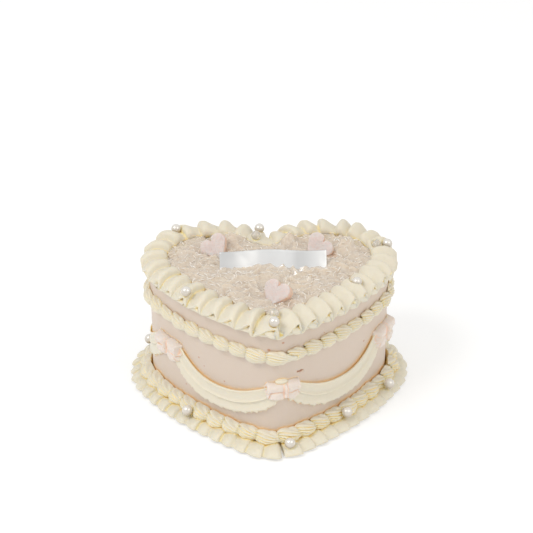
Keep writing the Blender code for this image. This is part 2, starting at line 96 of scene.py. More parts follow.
# Ruffles: profiles over the ribbon's width from its inner edge to its outer one
RUFFLE_FOLDS = 36
RUFFLE_DRIFT = 0.12
RUFFLE_STEPS = 40
RUFFLE_START = -0.0110
RUFFLE_ACROSS = 22
RUFFLE_THICKNESS = 0.0038
RUFFLE_CREST_OUT = ((0.0, -12.6), (0.06, -12.9), (0.16, -11.6), (0.32, -7.8), (0.5, -3.4), (0.68, 0.8),
                    (0.84, 4.0), (1.0, 6.3))
RUFFLE_CREST_UP = ((0.0, 3.8), (0.06, 7.6), (0.16, 10.6), (0.32, 12.4), (0.5, 12.6), (0.68, 11.4),
                   (0.84, 9.2), (1.0, 6.5))
RUFFLE_VALLEY_OUT = ((0.0, -11.8), (0.06, -11.6), (0.16, -10.4), (0.32, -7.2), (0.5, -3.4), (0.68, 0.6),
                     (0.84, 3.4), (1.0, 5.4))
RUFFLE_VALLEY_UP = ((0.0, 2.8), (0.06, 5.0), (0.16, 6.6), (0.32, 7.4), (0.5, 7.0), (0.68, 5.0),
                    (0.84, 2.0), (1.0, -1.8))
RUFFLE_LEAN = ((0.0, 0.0), (0.3, 0.3), (0.7, 0.8), (1.0, 1.0))
# One fold from valley to valley at the free edge and at the inner end: how far along it each place
# lies, in shares of the fold's length, how much of the crest it has, and how far it bulges out
FOLD_PLACE = ((0.0, 0.0), (0.08, 0.075), (0.18, 0.20), (0.30, 0.35), (0.42, 0.507), (0.52, 0.63),
              (0.60, 0.73), (0.68, 0.825), (0.73, 0.873), (0.79, 0.915), (0.86, 0.945), (0.93, 0.968),
              (1.0, 1.0))
FOLD_RISE = ((0.0, 0.0), (0.08, 0.07), (0.18, 0.24), (0.30, 0.50), (0.42, 0.77), (0.52, 0.93), (0.60, 1.0),
             (0.68, 0.98), (0.73, 0.89), (0.79, 0.68), (0.86, 0.38), (0.93, 0.12), (1.0, 0.0))
FOLD_BULGE = ((0.0, 0.0), (0.60, 0.0), (0.73, 0.25), (0.84, 0.45), (0.93, 0.2), (1.0, 0.0))
LEFT_PLACE = ((0.0, 0.0), (0.10, 0.10), (0.20, 0.22), (0.35, 0.43), (0.45, 0.57), (0.55, 0.70), (0.63, 0.80),
              (0.70, 0.88), (0.77, 0.94), (0.84, 0.975), (0.92, 0.99), (1.0, 1.0))
LEFT_RISE = ((0.0, 0.25), (0.10, 0.27), (0.20, 0.34), (0.35, 0.56), (0.45, 0.80), (0.55, 0.96), (0.63, 1.0),
             (0.70, 0.96), (0.77, 0.83), (0.84, 0.60), (0.92, 0.35), (1.0, 0.25))
END_PLACE = ((0.0, 0.0), (0.18, 0.20), (0.35, 0.40), (0.50, 0.56), (0.60, 0.66), (0.70, 0.76), (0.80, 0.86),
             (0.88, 0.93), (0.94, 0.97), (1.0, 1.0))
END_RISE = ((0.0, 0.0), (0.10, 0.10), (0.22, 0.34), (0.35, 0.68), (0.47, 0.91), (0.58, 1.0), (0.68, 0.99),
            (0.78, 0.88), (0.87, 0.62), (0.94, 0.30), (1.0, 0.0))
# How thick the ribbon is in its valleys and along its crests, in shares of its greatest thickness
RUFFLE_VALLEY_WALL = ((0.0, 0.5), (0.5, 1.0), (0.75, 0.85), (0.90, 0.50), (1.0, 0.22))
RUFFLE_CREST_WALL = ((0.0, 0.35), (0.5, 0.40), (0.85, 0.32), (1.0, 0.22))
# The folds' roots: how far along each fold, distance out, height, lean and half sizes
ROOT_SHARE = 0.72
ROOT_LEAST_X = -0.012
ROOT_OUT = 0.0030
ROOT_UP = 0.0014
ROOT_TILT = math.radians(22)
ROOT_SIZE = (0.0056, 0.0034, 0.0031)
# One pleat of the skirt: a broad rounded back and a narrow crease
PLEAT_PLACE = ((0.0, 0.0), (0.10, 0.09), (0.25, 0.24), (0.50, 0.52), (0.70, 0.76), (0.82, 0.90), (0.90, 0.96),
               (1.0, 1.0))
PLEAT_RISE = ((0.0, 0.0), (0.08, 0.05), (0.18, 0.22), (0.32, 0.54), (0.48, 0.84), (0.62, 0.99), (0.70, 1.0),
              (0.80, 0.88), (0.88, 0.56), (0.95, 0.18), (1.0, 0.0))
SKIRT_PLEATS = 52
SKIRT_STEPS = 30
SKIRT_ACROSS = 16
SKIRT_THICKNESS = 0.0010
SKIRT_SPLIT = 0.0045
SKIRT_SPLIT_WIDTH = 0.0016
SKIRT_TIP_REACH = 0.0032
SKIRT_TIP_RUN = 0.060
SKIRT_CREST_OUT = ((0.0, 1.2), (0.15, 4.0), (0.4, 8.5), (0.7, 13.2), (0.88, 15.8), (1.0, 17.0))
SKIRT_CREST_UP = ((0.0, 3.8), (0.15, 5.8), (0.4, 7.0), (0.65, 6.5), (0.86, 4.6), (1.0, 2.4))
SKIRT_VALLEY_OUT = ((0.0, 1.2), (0.15, 4.0), (0.4, 8.0), (0.7, 11.8), (0.88, 13.6), (1.0, 14.4))
SKIRT_VALLEY_UP = ((0.0, 2.8), (0.15, 4.6), (0.4, 5.4), (0.7, 4.0), (0.88, 2.5), (1.0, 1.3))
SKIRT_LEAN = ((0.0, 0.1), (0.4, 0.5), (0.8, 0.9), (1.0, 1.0))
SKIRT_WALL = ((0.0, 1.0), (1.0, 0.7))

# Piped shells: (how many, height of the row's middle, distance out, length, half height, depth)
UPPER_ROW = (36, 0.0706, 0.0000, 0.0190, 0.0054, 0.0050)
BASE_ROW = (38, 0.0090, 0.0008, 0.0205, 0.0056, 0.0086)
UPPER_START = 0.0028
BASE_START = -0.0029
SHELL_KINDS = 5
SHELL_RIDGES = 5.5
SHELL_RIDGE_DEPTH = 0.34
SHELL_JAG = 0.0024
SHELL_LENGTHWISE = 18
SHELL_ROUND = 96
SHELL_PEAK = 0.34
SHELL_FALL = 2.6
SHELL_TALL = ((0.0, 0.62), (0.10, 0.92), (0.24, 1.0), (0.46, 0.88), (0.66, 0.54), (0.82, 0.36), (1.0, 0.24))
SHELL_DEEP = ((0.0, 0.40), (0.10, 0.82), (0.24, 1.0), (0.46, 0.86), (0.66, 0.56), (0.82, 0.38), (1.0, 0.24))

# Garlands and bows: (place, height, height of the garlands' ends, half width, size)
BOWS = (
    (0.0065, 0.0438, 0.0440, 0.0116, 0.94),
    (0.112, 0.0438, 0.0495, 0.0140, 1.10),
    (0.207, 0.0450, 0.0480, 0.0135, 0.95),
    (0.306, 0.0450, 0.0480, 0.0135, 0.95),
    (0.4075, 0.0438, 0.0495, 0.0140, 1.08),
)
SWAG_LOW_Z = 0.0285
SWAG_WIDTH = 0.0170
SWAG_END_WIDTH = 0.0120
SWAG_THICKNESS = 0.0036
SWAG_END = 0.0050
FLAT_GARLAND = 3
FLAT_SHARE = 0.5
SWAG_STEPS = 190
SWAG_SAG_POWER = 2.3
SWAG_SECTION = ((0.10, 0.505), (0.60, 0.502), (0.82, 0.480), (0.78, 0.440), (0.62, 0.400), (0.54, 0.280),
                (0.56, 0.170), (0.72, 0.090), (1.06, 0.050), (1.12, 0.020), (0.88, -0.005), (0.50, -0.030),
                (0.56, -0.110), (0.80, -0.220), (0.96, -0.320), (0.98, -0.400), (0.84, -0.455),
                (0.56, -0.485), (0.10, -0.490))

# A bow: how many places across and up, its reach in half widths, its top and foot in millimetres
BOW_ACROSS = 120
BOW_TALL = 80
BOW_REACH = 1.14
BOW_TOP = 8.4
BOW_FOOT = -6.8
# Dabs of icing that look out beside bows: (garland, place, height, out, half sizes)
DABS = (
    (0, 0.0046, 0.0521, 0.0006, (0.0044, 0.0026, 0.0017)),
)

# Heap of crushed jelly
FILLING_EDGE = -0.0123
FILLING_EDGE_HEIGHT = 0.0052
FILLING_CROWN = 0.0030
JELLY_LUMPS = ((-0.0260, 0.0480, 0.0150, 0.0074), (0.0560, 0.0400, 0.0160, 0.0064),
               (0.0140, 0.0470, 0.0120, 0.0066), (-0.0600, 0.0350, 0.0140, 0.0028),
               (0.0500, 0.0120, 0.0160, 0.0022), (-0.0200, -0.0100, 0.0200, 0.0018))
CHIP_KINDS = 7

# Heart sweets: (x, y, sink, tilt, yaw, turn), as in the solids
SWEET_WIDTH = 0.0200
SWEET_THICKNESS = 0.0085
SWEETS = {
    "front": (0.0030, -0.0350, 0.0018, math.radians(42), math.radians(-34), math.radians(-8)),
    "left": (-0.0380, 0.0340, 0.0018, math.radians(38), math.radians(-18), math.radians(42)),
    "right": (0.0352, 0.0320, 0.0018, math.radians(40), math.radians(-12), math.radians(-40)),
}

# Blank silver strip
STRIP_LENGTH = 0.0750
STRIP_HEIGHT = 0.0150
STRIP_THICKNESS = 0.0005
STRIP_LEAN = math.radians(30)
STRIP_CENTRE = (0.0020, 0.0060)
STRIP_FOOT = 0.0060
STRIP_WAVE = 0.0016
# Painted reflections of the strip's bends: grey levels of the silver along its length, as light and dark bands
FOIL_REFLECTION_BANDS = ((0.0, 0.80), (0.12, 0.84), (0.22, 0.95), (0.34, 0.99), (0.50, 0.98), (0.60, 0.99), (0.66, 0.94),
              (0.72, 0.80), (0.78, 0.83), (0.87, 0.95), (1.0, 0.97))

# Nooks: how far round each point its neighbours reach, which sets the painted warm shade in the icing's nooks and
# creases
NOOK_REACH = 0.0060
NOOK_RAYS = 14


class Value:
    """A socket of a node tree that adds and multiplies like a number."""

    def __init__(self, board, socket):
        self.board = board
        self.socket = socket

    def math(self, operation, *others):
        return self.board.add("ShaderNodeMath", {"operation": operation}, (self,) + others)[0]

    def __add__(self, other):
        return self.math("ADD", other)

    def __sub__(self, other):
        return self.math("SUBTRACT", other)

    def __mul__(self, other):
        return self.math("MULTIPLY", other)

    def __truediv__(self, other):
        return self.math("DIVIDE", other)

    def __pow__(self, other):
        return self.math("POWER", other)

    def __mod__(self, other):
        return self.math("FLOORED_MODULO", other)

    def __rsub__(self, other):
        return self.board.add("ShaderNodeMath", {"operation": "SUBTRACT"}, (other, self))[0]

    __radd__ = __add__
    __rmul__ = __mul__

    def cosine(self):
        return self.math("COSINE")

    def floor(self):
        return self.math("FLOOR")

    def between(self, low, high):
        """0 below low, 1 above high and a smooth step in between."""
        ends = {"From Min": low, "From Max": high, "Value": self}
        return self.board.add("ShaderNodeMapRange", {"interpolation_type": "SMOOTHSTEP"}, ends)[0]


class Made:
    """A node that has been added, whose outputs are fetched by name or number."""

    def __init__(self, board, node):
        self.board = board
        self.node = node

    def __getitem__(self, key):
        return Value(self.board, find_socket(self.node.outputs, key))


def find_socket(sockets, key):
    """Socket by its number, its identifier or its name."""
    if isinstance(key, str):
        for socket in sockets:
            if socket.identifier == key:
                return socket
    return sockets[key]


class Board:
    """A node tree, with one method that adds any node to it."""

    def __init__(self, tree):
        self.tree = tree

    def add(self, kind, settings=None, inputs=()):
        """A node with its settings made first, then values or links put in its sockets."""
        node = self.tree.nodes.new(kind)
        for name, setting in (settings or {}).items():
            if name == "stops":
                self.set_stops(node.color_ramp, setting)
            elif name == "points":
                self.set_points(node.mapping, setting)
            else:
                setattr(node, name, setting)
        pairs = inputs.items() if isinstance(inputs, dict) else enumerate(inputs)
        for key, value in pairs:
            socket = find_socket(node.inputs, key)
            if isinstance(value, Value):
                self.tree.links.new(value.socket, socket)
            elif value is not None:
                socket.default_value = value
        return Made(self, node)

    @staticmethod
    def set_stops(ramp, stops):
        while len(ramp.elements) < len(stops):
            ramp.elements.new(0.5)
        for element, (position, colour) in zip(ramp.elements, stops):
            element.position = position
            element.color = colour if len(colour) == 4 else (*colour, 1.0)

    @staticmethod
    def set_points(mapping, points):
        curve = mapping.curves[0]
        while len(curve.points) < len(points):
            curve.points.new(0.5, 0.5)
        for point, place in zip(curve.points, points):
            point.location = place
            point.handle_type = "AUTO_CLAMPED"
        mapping.update()

    def mix(self, share, first, second):
        """Number that goes from the first to the second as the share goes from 0 to 1."""
        return first + (second - first) * share

    def blend(self, share, first, second):
        """Colour mixed from two."""
        sides = {"Factor_Float": share}
        for key, colour in (("A_Color", first), ("B_Color", second)):
            sides[key] = colour if isinstance(colour, Value) else (*colour, 1.0)
        return self.add("ShaderNodeMix", {"data_type": "RGBA"}, sides)["Result_Color"]

    def vector(self, operation, *vectors):
        return self.add("ShaderNodeVectorMath", {"operation": operation}, vectors)["Vector"]

    def scaled(self, vector, share):
        node = self.add("ShaderNodeVectorMath", {"operation": "SCALE"}, {"Vector": vector, "Scale": share})
        return node["Vector"]

    def profile(self, along, pairs, unit=1.0):
        """A smooth curve through (place, value) pairs, read at a place from 0 to 1."""
        low = min(value for _, value in pairs)
        span = max(value for _, value in pairs) - low
        points = [(place, (value - low) / span) for place, value in pairs]
        share = self.add("ShaderNodeFloatCurve", {"points": points}, {"Value": along})[0]
        return share * (span * unit) + low * unit


class HeartPath:
    """Outline of the heart at a distance outside its iced side, with its own cleft fillet."""

    def __init__(self, offset=0.0, cleft=CLEFT_RADIUS):
        self.offset = offset
        lobe = LOBE_RADIUS + offset
        notch = math.sqrt((lobe + cleft) ** 2 - LOBE_CENTRE_X ** 2)
        reach = LOBE_RADIUS - SIDE_RADIUS
        side_x = LOBE_CENTRE_X + reach * math.cos(LOBE_END_ANGLE)
        side_y = reach * math.sin(LOBE_END_ANGLE)
        side_end = -math.acos(-side_x / (SIDE_RADIUS - TIP_RADIUS))
        tip_y = side_y + (SIDE_RADIUS - TIP_RADIUS) * math.sin(side_end)
        lobe_end = math.atan2(notch, -LOBE_CENTRE_X)
        cleft_start = math.atan2(-notch, LOBE_CENTRE_X)
        self.arcs = (
            (0.0, tip_y, TIP_RADIUS + offset, -math.pi / 2, side_end + math.pi / 2),
            (side_x, side_y, SIDE_RADIUS + offset, side_end, LOBE_END_ANGLE - side_end),
            (LOBE_CENTRE_X, 0.0, lobe, LOBE_END_ANGLE, lobe_end - LOBE_END_ANGLE),
            (0.0, notch, cleft, cleft_start, -math.pi / 2 - cleft_start),
        )
        self.half = sum(radius * abs(sweep) for _, _, radius, _, sweep in self.arcs)
        self.length = 2 * self.half

    def at(self, place):
        """Point of the outline and its outward direction."""
        place %= self.length
        mirrored = place > self.half
        if mirrored:
            place = self.length - place
        for x, y, radius, start, sweep in self.arcs:
            run = radius * abs(sweep)
            if place <= run:
                break
            place -= run
        angle = start + math.copysign(min(place, run) / radius, sweep)
        ray = Vector((math.cos(angle), math.sin(angle), 0.0))
        point = Vector((x, y + LOBE_CENTRE_Y, 0.0)) + radius * ray
        outward = ray if sweep > 0 else -ray
        if mirrored:
            point.x = -point.x
            outward.x = -outward.x
        return point, outward

    def off(self, place, out, height):
        """Point at a distance outside the cake's side, at a height."""
        point, outward = self.at(place)
        return point + outward * (out - self.offset) + Vector((0.0, 0.0, height))

    def curve(self, name, start=0.0, out=None, height=0.0, step=0.0005):
        """Closed curve object along the outline, for the node trees to follow."""
        count = round(self.length / step)
        out = self.offset if out is None else out
        shape = bpy.data.curves.new(name, "CURVE")
        shape.dimensions = "3D"
        line = shape.splines.new("POLY")
        line.points.add(count - 1)
        for k in range(count):
            line.points[k].co = (*self.off(start + self.length * k / count, out, height), 1.0)
        line.use_cyclic_u = True
        item = bpy.data.objects.new(name, shape)
        bpy.context.scene.collection.objects.link(item)
        return item


SIDE = HeartPath()


def add_mesh(name, bm):
    """Object at the origin from a finished bmesh."""
    mesh = bpy.data.meshes.new(name)
    bm.to_mesh(mesh)
    bm.free()
    mesh.shade_smooth()
    item = bpy.data.objects.new(name, mesh)
    bpy.context.scene.collection.objects.link(item)
    return item


def join(name, items):
    """One object from several."""
    bm = bmesh.new()
    for item in items:
        bm.from_mesh(item.data)
        bpy.data.objects.remove(item)
    return add_mesh(name, bm)


def grid(rows, round_rows=False, round_columns=False, capped=False):
    """Surface through rows of points with equal numbers in each."""
    bm = bmesh.new()
    verts = [[bm.verts.new(point) for point in row] for row in rows]
    pairs = list(zip(verts, verts[1:]))
    if round_rows:
        pairs.append((verts[-1], verts[0]))
    count = len(verts[0])
    for a, b in pairs:
        for k in range(count if round_columns else count - 1):
            n = (k + 1) % count
            bm.faces.new((a[k], b[k], b[n], a[n]))
    if capped:
        bm.faces.new(verts[0])
        bm.faces.new(list(reversed(verts[-1])))
    return bm


def outwards(bm):
    """Make the faces of a closed surface point outwards."""
    bmesh.ops.recalc_face_normals(bm, faces=bm.faces)
    return bm


def flatten(item):
    """Turn an object and its modifiers into a plain mesh."""
    evaluated = item.evaluated_get(bpy.context.evaluated_depsgraph_get())
    mesh = bpy.data.meshes.new_from_object(evaluated)
    item.modifiers.clear()
    item.data = mesh
    mesh.shade_smooth()
    return item


def apply_tree(item, tree, values):
    """Run a geometry tree on an object with its inputs set by name, and keep the mesh."""
    modifier = item.modifiers.new(tree.name, "NODES")
    modifier.node_group = tree
    for socket in tree.interface.items_tree:
        if socket.in_out == "INPUT" and socket.name in values:
            modifier[socket.identifier] = values[socket.name]
    return flatten(item)


def new_tree(name, inputs):
    """Empty geometry tree with named inputs; returns its board and the inputs' values."""
    tree = bpy.data.node_groups.new(name, "GeometryNodeTree")
    tree.interface.new_socket("Geometry", in_out="INPUT", socket_type="NodeSocketGeometry")
    tree.interface.new_socket("Geometry", in_out="OUTPUT", socket_type="NodeSocketGeometry")
    for label, (kind, default) in inputs.items():
        socket = tree.interface.new_socket(label, in_out="INPUT", socket_type=kind)
        if default is not None:
            socket.default_value = default
    board = Board(tree)
    return board, board.add("NodeGroupInput")


def end_tree(board, geometry, material):
    """Finish a geometry tree: real meshes with their material set."""
    real = board.add("GeometryNodeRealizeInstances", None, (geometry,))[0]
    painted = board.add("GeometryNodeSetMaterial", None, {"Geometry": real, "Material": material})[0]
    board.add("NodeGroupOutput", None, (painted,))
    return board.tree


def random_value(board, low, high, seed, index=None):
    """Random number for each index, the same at every run."""
    sockets = {"Min_001": low, "Max_001": high, "Seed": seed}
    if index is not None:
        sockets["ID"] = index
    return board.add("FunctionNodeRandomValue", {"data_type": "FLOAT"}, sockets)["Value_001"]


def fold_ribbon_tree(name, shape):
    """Tree that pipes a ribbon along a path and lays it in folds that lean over one another."""
    board, given = new_tree(name, {
        "Path": ("NodeSocketObject", None),
        "Path Out": ("NodeSocketFloat", 0.0),
        "Start": ("NodeSocketFloat", 0.0),
        "Opening": ("NodeSocketFloat", 0.0),
        "Folds": ("NodeSocketInt", 38),
        "Steps": ("NodeSocketInt", 40),
        "Across": ("NodeSocketInt", 22),
        "Size Spread": ("NodeSocketFloat", 0.12),
        "Slide Spread": ("NodeSocketFloat", 0.0012),
        "Wobble": ("NodeSocketFloat", 0.0004),
        "Drift": ("NodeSocketFloat", 0.0),
        "Back Lift": ("NodeSocketFloat", 0.0),
        "Tip Reach": ("NodeSocketFloat", 0.0),
        "Seed": ("NodeSocketInt", 1),
        "Material": ("NodeSocketMaterial", None),
    })
    path = board.add("GeometryNodeObjectInfo", None, {"Object": given["Path"]})["Geometry"]
    length = board.add("GeometryNodeCurveLength", None, (path,))["Length"]
    sheet = board.add("GeometryNodeMeshGrid", None, {
        "Size X": 1.0, "Size Y": 1.0, "Vertices X": given["Folds"] * given["Steps"] + 1,
        "Vertices Y": given["Across"]})["Mesh"]
    spot = board.add("GeometryNodeInputPosition")["Position"]
    flat = board.add("ShaderNodeSeparateXYZ", None, (spot,))
    along = flat["X"] + 0.5
    width = 0.5 - flat["Y"]
    fold = along * given["Folds"]
    part = fold % 1.0
    number = (fold + 0.0001).floor() % given["Folds"]
    left = along.between(0.46, 0.54) * (1.0 - along.between(0.95, 1.0))
    outer = board.mix(left, board.profile(part, shape["rise"]), board.profile(part, shape["left_rise"]))
    rise = board.mix(width, board.profile(part, shape["inner_rise"]), outer)
    size = random_value(board, 1.0 - given["Size Spread"], 1.0 + given["Size Spread"], given["Seed"], number)
    shift = random_value(board, -1.0, 1.0, given["Seed"] + 1, number) * given["Slide Spread"]
    run = length - given["Opening"]
    outer = board.mix(left, board.profile(part, shape["place"]), board.profile(part, shape["left_place"]))
    within = board.mix(board.profile(width, shape["lean"]), board.profile(part, shape["inner_place"]), outer)
    share = (fold - part + within) / given["Folds"]
    share = share - (1.0 - (share * (2 * math.pi)).cosine()) * (given["Drift"] / (2 * math.pi))
    place = given["Start"] + run * share + shift * rise
    place = place % length
    on = board.add("GeometryNodeSampleCurve", {"mode": "LENGTH"}, {"Curves": path, "Length": place})
    outward = board.vector("CROSS_PRODUCT", on["Tangent"], (0.0, 0.0, 1.0))
    outward = board.vector("NORMALIZE", outward)
    tip = board.add("ShaderNodeSeparateXYZ", None, (on["Position"],))["Y"].between(-0.055, -0.090)
    crest = rise * size
    out = board.mix(crest, board.profile(width, shape["valley_out"], 0.001),
                    board.profile(width, shape["crest_out"], 0.001))
    bulge = board.profile(part, shape["bulge"], 0.001) * width * width * (1.0 - left)
    out = out + bulge - given["Path Out"] + given["Tip Reach"] * width * tip
    behind = board.add("ShaderNodeSeparateXYZ", None, (on["Position"],))["Y"].between(0.030, 0.075)
    up = board.mix(crest, board.profile(width, shape["valley_up"], 0.001),
                   board.profile(width, shape["crest_up"], 0.001)) + given["Back Lift"] * behind
    lift = board.add("ShaderNodeCombineXYZ", None, {"Z": up})["Vector"]
    point = board.vector("ADD", board.vector("ADD", on["Position"], board.scaled(outward, out)), lift)
    rough = board.add("ShaderNodeTexNoise", None, {"Vector": point, "Scale": 130.0, "Detail": 1.0})["Color"]
    rough = board.scaled(board.vector("SUBTRACT", rough, (0.5, 0.5, 0.5)), given["Wobble"] * 2.0)
    moved = board.add("GeometryNodeSetPosition", None, {
        "Geometry": sheet, "Position": board.vector("ADD", point, rough)})["Geometry"]
    wall = board.mix(rise, board.profile(width, shape["valley_wall"]), board.profile(width, shape["crest_wall"]))
    kept = board.add("GeometryNodeStoreNamedAttribute", {"data_type": "FLOAT", "domain": "POINT"}, {
        "Geometry": moved, "Name": "wall", "Value": wall})["Geometry"]
    closed = board.add("GeometryNodeMergeByDistance", None, {"Geometry": kept, "Distance": 0.00002})["Geometry"]
    return end_tree(board, closed, given["Material"])


def piped_row_tree():
    """Tree that sets shells end to end along a path, each a little different from the last."""
    board, given = new_tree("piped_row", {
        "Path": ("NodeSocketObject", None),
        "Shells": ("NodeSocketCollection", None),
        "Count": ("NodeSocketInt", 36),
        "Size Spread": ("NodeSocketFloat", 0.08),
        "Turn Spread": ("NodeSocketFloat", 0.10),
        "Tip Extra": ("NodeSocketFloat", 0.0),
        "Seed": ("NodeSocketInt", 1),
        "Material": ("NodeSocketMaterial", None),
    })
    path = board.add("GeometryNodeObjectInfo", None, {"Object": given["Path"]})["Geometry"]
    spots = board.add("GeometryNodeResampleCurve", {"mode": "COUNT"}, {
        "Curve": path, "Count": given["Count"]})["Curve"]
    tangent = board.add("GeometryNodeInputTangent")["Tangent"]
    upright = board.add("FunctionNodeAxesToRotation", {"primary_axis": "X", "secondary_axis": "Z"}, {
        "Primary Axis": tangent, "Secondary Axis": (0.0, 0.0, 1.0)})["Rotation"]
    swing = given["Turn Spread"]
    turns = [random_value(board, 0.0 - swing, swing, given["Seed"] + k) for k in range(3)]
    euler = board.add("ShaderNodeCombineXYZ", None, (turns[0], turns[1] * 0.8, turns[2] * 0.5))["Vector"]
    turn = board.add("FunctionNodeEulerToRotation", None, (euler,))["Rotation"]
    rotation = board.add("FunctionNodeRotateRotation", {"rotation_space": "LOCAL"}, {
        "Rotation": upright, "Rotate By": turn})["Rotation"]
    spread = given["Size Spread"]
    fat = random_value(board, 1.0 - spread, 1.0 + spread, given["Seed"] + 5)
    position = board.add("GeometryNodeInputPosition")["Position"]
    tip = board.add("ShaderNodeSeparateXYZ", None, (position,))["Y"].between(-0.083, -0.094)
    fat = fat * (tip * given["Tip Extra"] + 1.0)
    long = random_value(board, 1.0 - spread * 0.4, 1.0 + spread * 0.6, given["Seed"] + 7)
    scale = board.add("ShaderNodeCombineXYZ", None, (long, fat, fat))["Vector"]
    shells = board.add("GeometryNodeCollectionInfo", None, {
        "Collection": given["Shells"], "Separate Children": True, "Reset Children": True})["Instances"]
    row = board.add("GeometryNodeInstanceOnPoints", None, {
        "Points": spots, "Instance": shells, "Pick Instance": True, "Rotation": rotation,
        "Scale": scale})["Instances"]
    return end_tree(board, row, given["Material"])


def scatter_tree():
    """Tree that strews pieces of a collection over a surface, turned every way."""
    board, given = new_tree("strewn", {
        "Pieces": ("NodeSocketCollection", None),
        "Spacing": ("NodeSocketFloat", 0.003),
        "Density": ("NodeSocketFloat", 100000.0),
        "Smallest": ("NodeSocketFloat", 0.6),
        "Largest": ("NodeSocketFloat", 1.4),
        "Lift": ("NodeSocketFloat", 0.0),
        "Tilt": ("NodeSocketFloat", 3.14159),
        "Keep Base": ("NodeSocketBool", True),
        "Seed": ("NodeSocketInt", 1),
        "Material": ("NodeSocketMaterial", None),
    })
    cover = board.add("GeometryNodeInputNamedAttribute", {"data_type": "FLOAT"}, {"Name": "cover"})["Attribute"]
    spots = board.add("GeometryNodeDistributePointsOnFaces", {"distribute_method": "POISSON"}, {
        "Mesh": given["Geometry"], "Distance Min": given["Spacing"], "Density Max": given["Density"],
        "Density Factor": cover, "Seed": given["Seed"]})
    raised = board.add("GeometryNodeSetPosition", None, {
        "Geometry": spots["Points"], "Offset": board.scaled(spots["Normal"], given["Lift"])})["Geometry"]
    pieces = board.add("GeometryNodeCollectionInfo", None, {
        "Collection": given["Pieces"], "Separate Children": True, "Reset Children": True})["Instances"]
    tilt = given["Tilt"]
    turns = [random_value(board, 0.0 - tilt, tilt, given["Seed"] + k) for k in range(2)]
    turns.append(random_value(board, -3.14159, 3.14159, given["Seed"] + 2))
    euler = board.add("ShaderNodeCombineXYZ", None, tuple(turns))["Vector"]
    turn = board.add("FunctionNodeEulerToRotation", None, (euler,))["Rotation"]
    size = random_value(board, given["Smallest"], given["Largest"], given["Seed"] + 5)
    strewn = board.add("GeometryNodeInstanceOnPoints", None, {
        "Points": raised, "Instance": pieces, "Pick Instance": True, "Rotation": turn,
        "Scale": size})["Instances"]
    base = board.add("GeometryNodeSwitch", {"input_type": "GEOMETRY"}, {
        "Switch": given["Keep Base"], "True": given["Geometry"]})["Output"]
    both = board.add("GeometryNodeJoinGeometry")
    board.tree.links.new(strewn.socket, both.node.inputs[0])
    board.tree.links.new(base.socket, both.node.inputs[0])
    return end_tree(board, both[0], given["Material"])


def ball_tree():
    """Tree that turns each point of a mesh into a ball, storing how low each place on the ball lies for the pearls'
    painted shade.
    """
    board, given = new_tree("balls", {
        "Radius": ("NodeSocketFloat", 0.004),
        "Material": ("NodeSocketMaterial", None),
    })
    ball = board.add("GeometryNodeMeshUVSphere", None, {
        "Segments": 40, "Rings": 24, "Radius": given["Radius"]})["Mesh"]
    # Painted shade: 0 at the top of each ball and 1 at its foot
    height = board.add("ShaderNodeSeparateXYZ", None, (board.add("GeometryNodeInputPosition")["Position"],))["Z"]
    shaded = board.add("GeometryNodeStoreNamedAttribute", {"data_type": "FLOAT", "domain": "POINT"}, {
        "Geometry": ball, "Name": "low", "Value": 0.5 - height / (given["Radius"] * 2.0)})["Geometry"]
    smooth = board.add("GeometryNodeSetShadeSmooth", None, {"Geometry": shaded})["Geometry"]
    balls = board.add("GeometryNodeInstanceOnPoints", None, {
        "Points": given["Geometry"], "Instance": smooth})["Instances"]
    return end_tree(board, balls, given["Material"])


def nook_tree():
    """Tree that stores how shut in each point of a surface is by whatever stands close to it, as the weight of the
    painted shade in its material.
    """
    board, given = new_tree("nooks", {
        "Around": ("NodeSocketObject", None),
        "Reach": ("NodeSocketFloat", NOOK_REACH),
        "Material": ("NodeSocketMaterial", None),
    })
    around = board.add("GeometryNodeObjectInfo", None, {"Object": given["Around"]})["Geometry"]
    normal = board.add("GeometryNodeInputNormal")["Normal"]
    spot = board.add("GeometryNodeInputPosition")["Position"]
    start = board.vector("ADD", spot, board.scaled(normal, 0.00008))
    total = 0.0
    weights = 0.0
    for k in range(NOOK_RAYS):
        height = 1.0 - 2.0 * (k + 0.5) / NOOK_RAYS
        angle = 2.39996 * k
        wide = math.sqrt(1.0 - height * height)
        ray = (wide * math.cos(angle), wide * math.sin(angle), height)
        facing = board.add("ShaderNodeVectorMath", {"operation": "DOT_PRODUCT"}, (normal, ray))["Value"]
        side = facing.math("SIGN")
        struck = board.add("GeometryNodeRaycast", None, {
            "Target Geometry": around, "Source Position": start,
            "Ray Direction": board.scaled(ray, side), "Ray Length": given["Reach"]})
        near = (1.0 - struck["Hit Distance"] / given["Reach"]) * struck["Is Hit"]
        weight = facing.math("ABSOLUTE")
        total = near * weight + total
        weights = weight + weights
    kept = board.add("GeometryNodeStoreNamedAttribute", {"data_type": "FLOAT", "domain": "POINT"}, {
        "Geometry": given["Geometry"], "Name": "nook", "Value": total / weights})["Geometry"]
    return end_tree(board, kept, given["Material"])


def paint(name, build, **constants):
    """Material whose surface is built on a board; constants go straight to the shader's sockets."""
    material = bpy.data.materials.new(name)
    material.use_nodes = True
    board = Board(material.node_tree)
    shader = material.node_tree.nodes["Principled BSDF"]
    for label, number in constants.items():
        shader.inputs[label.replace("_", " ")].default_value = number
    for label, value in build(board).items():
        if isinstance(value, Value):
            board.tree.links.new(value.socket, shader.inputs[label])
        else:
            shader.inputs[label].default_value = value
    return material


def place_of(board):
    return board.add("ShaderNodeTexCoord")["Object"]


def speckle(board, scale, detail=2.0, where=None, roughness=0.5):
    """Cloudy pattern from 0 to 1, so many to the metre."""
    where = where or place_of(board)
    return board.add("ShaderNodeTexNoise", None, {
        "Vector": where, "Scale": scale, "Detail": detail, "Roughness": roughness})[0]


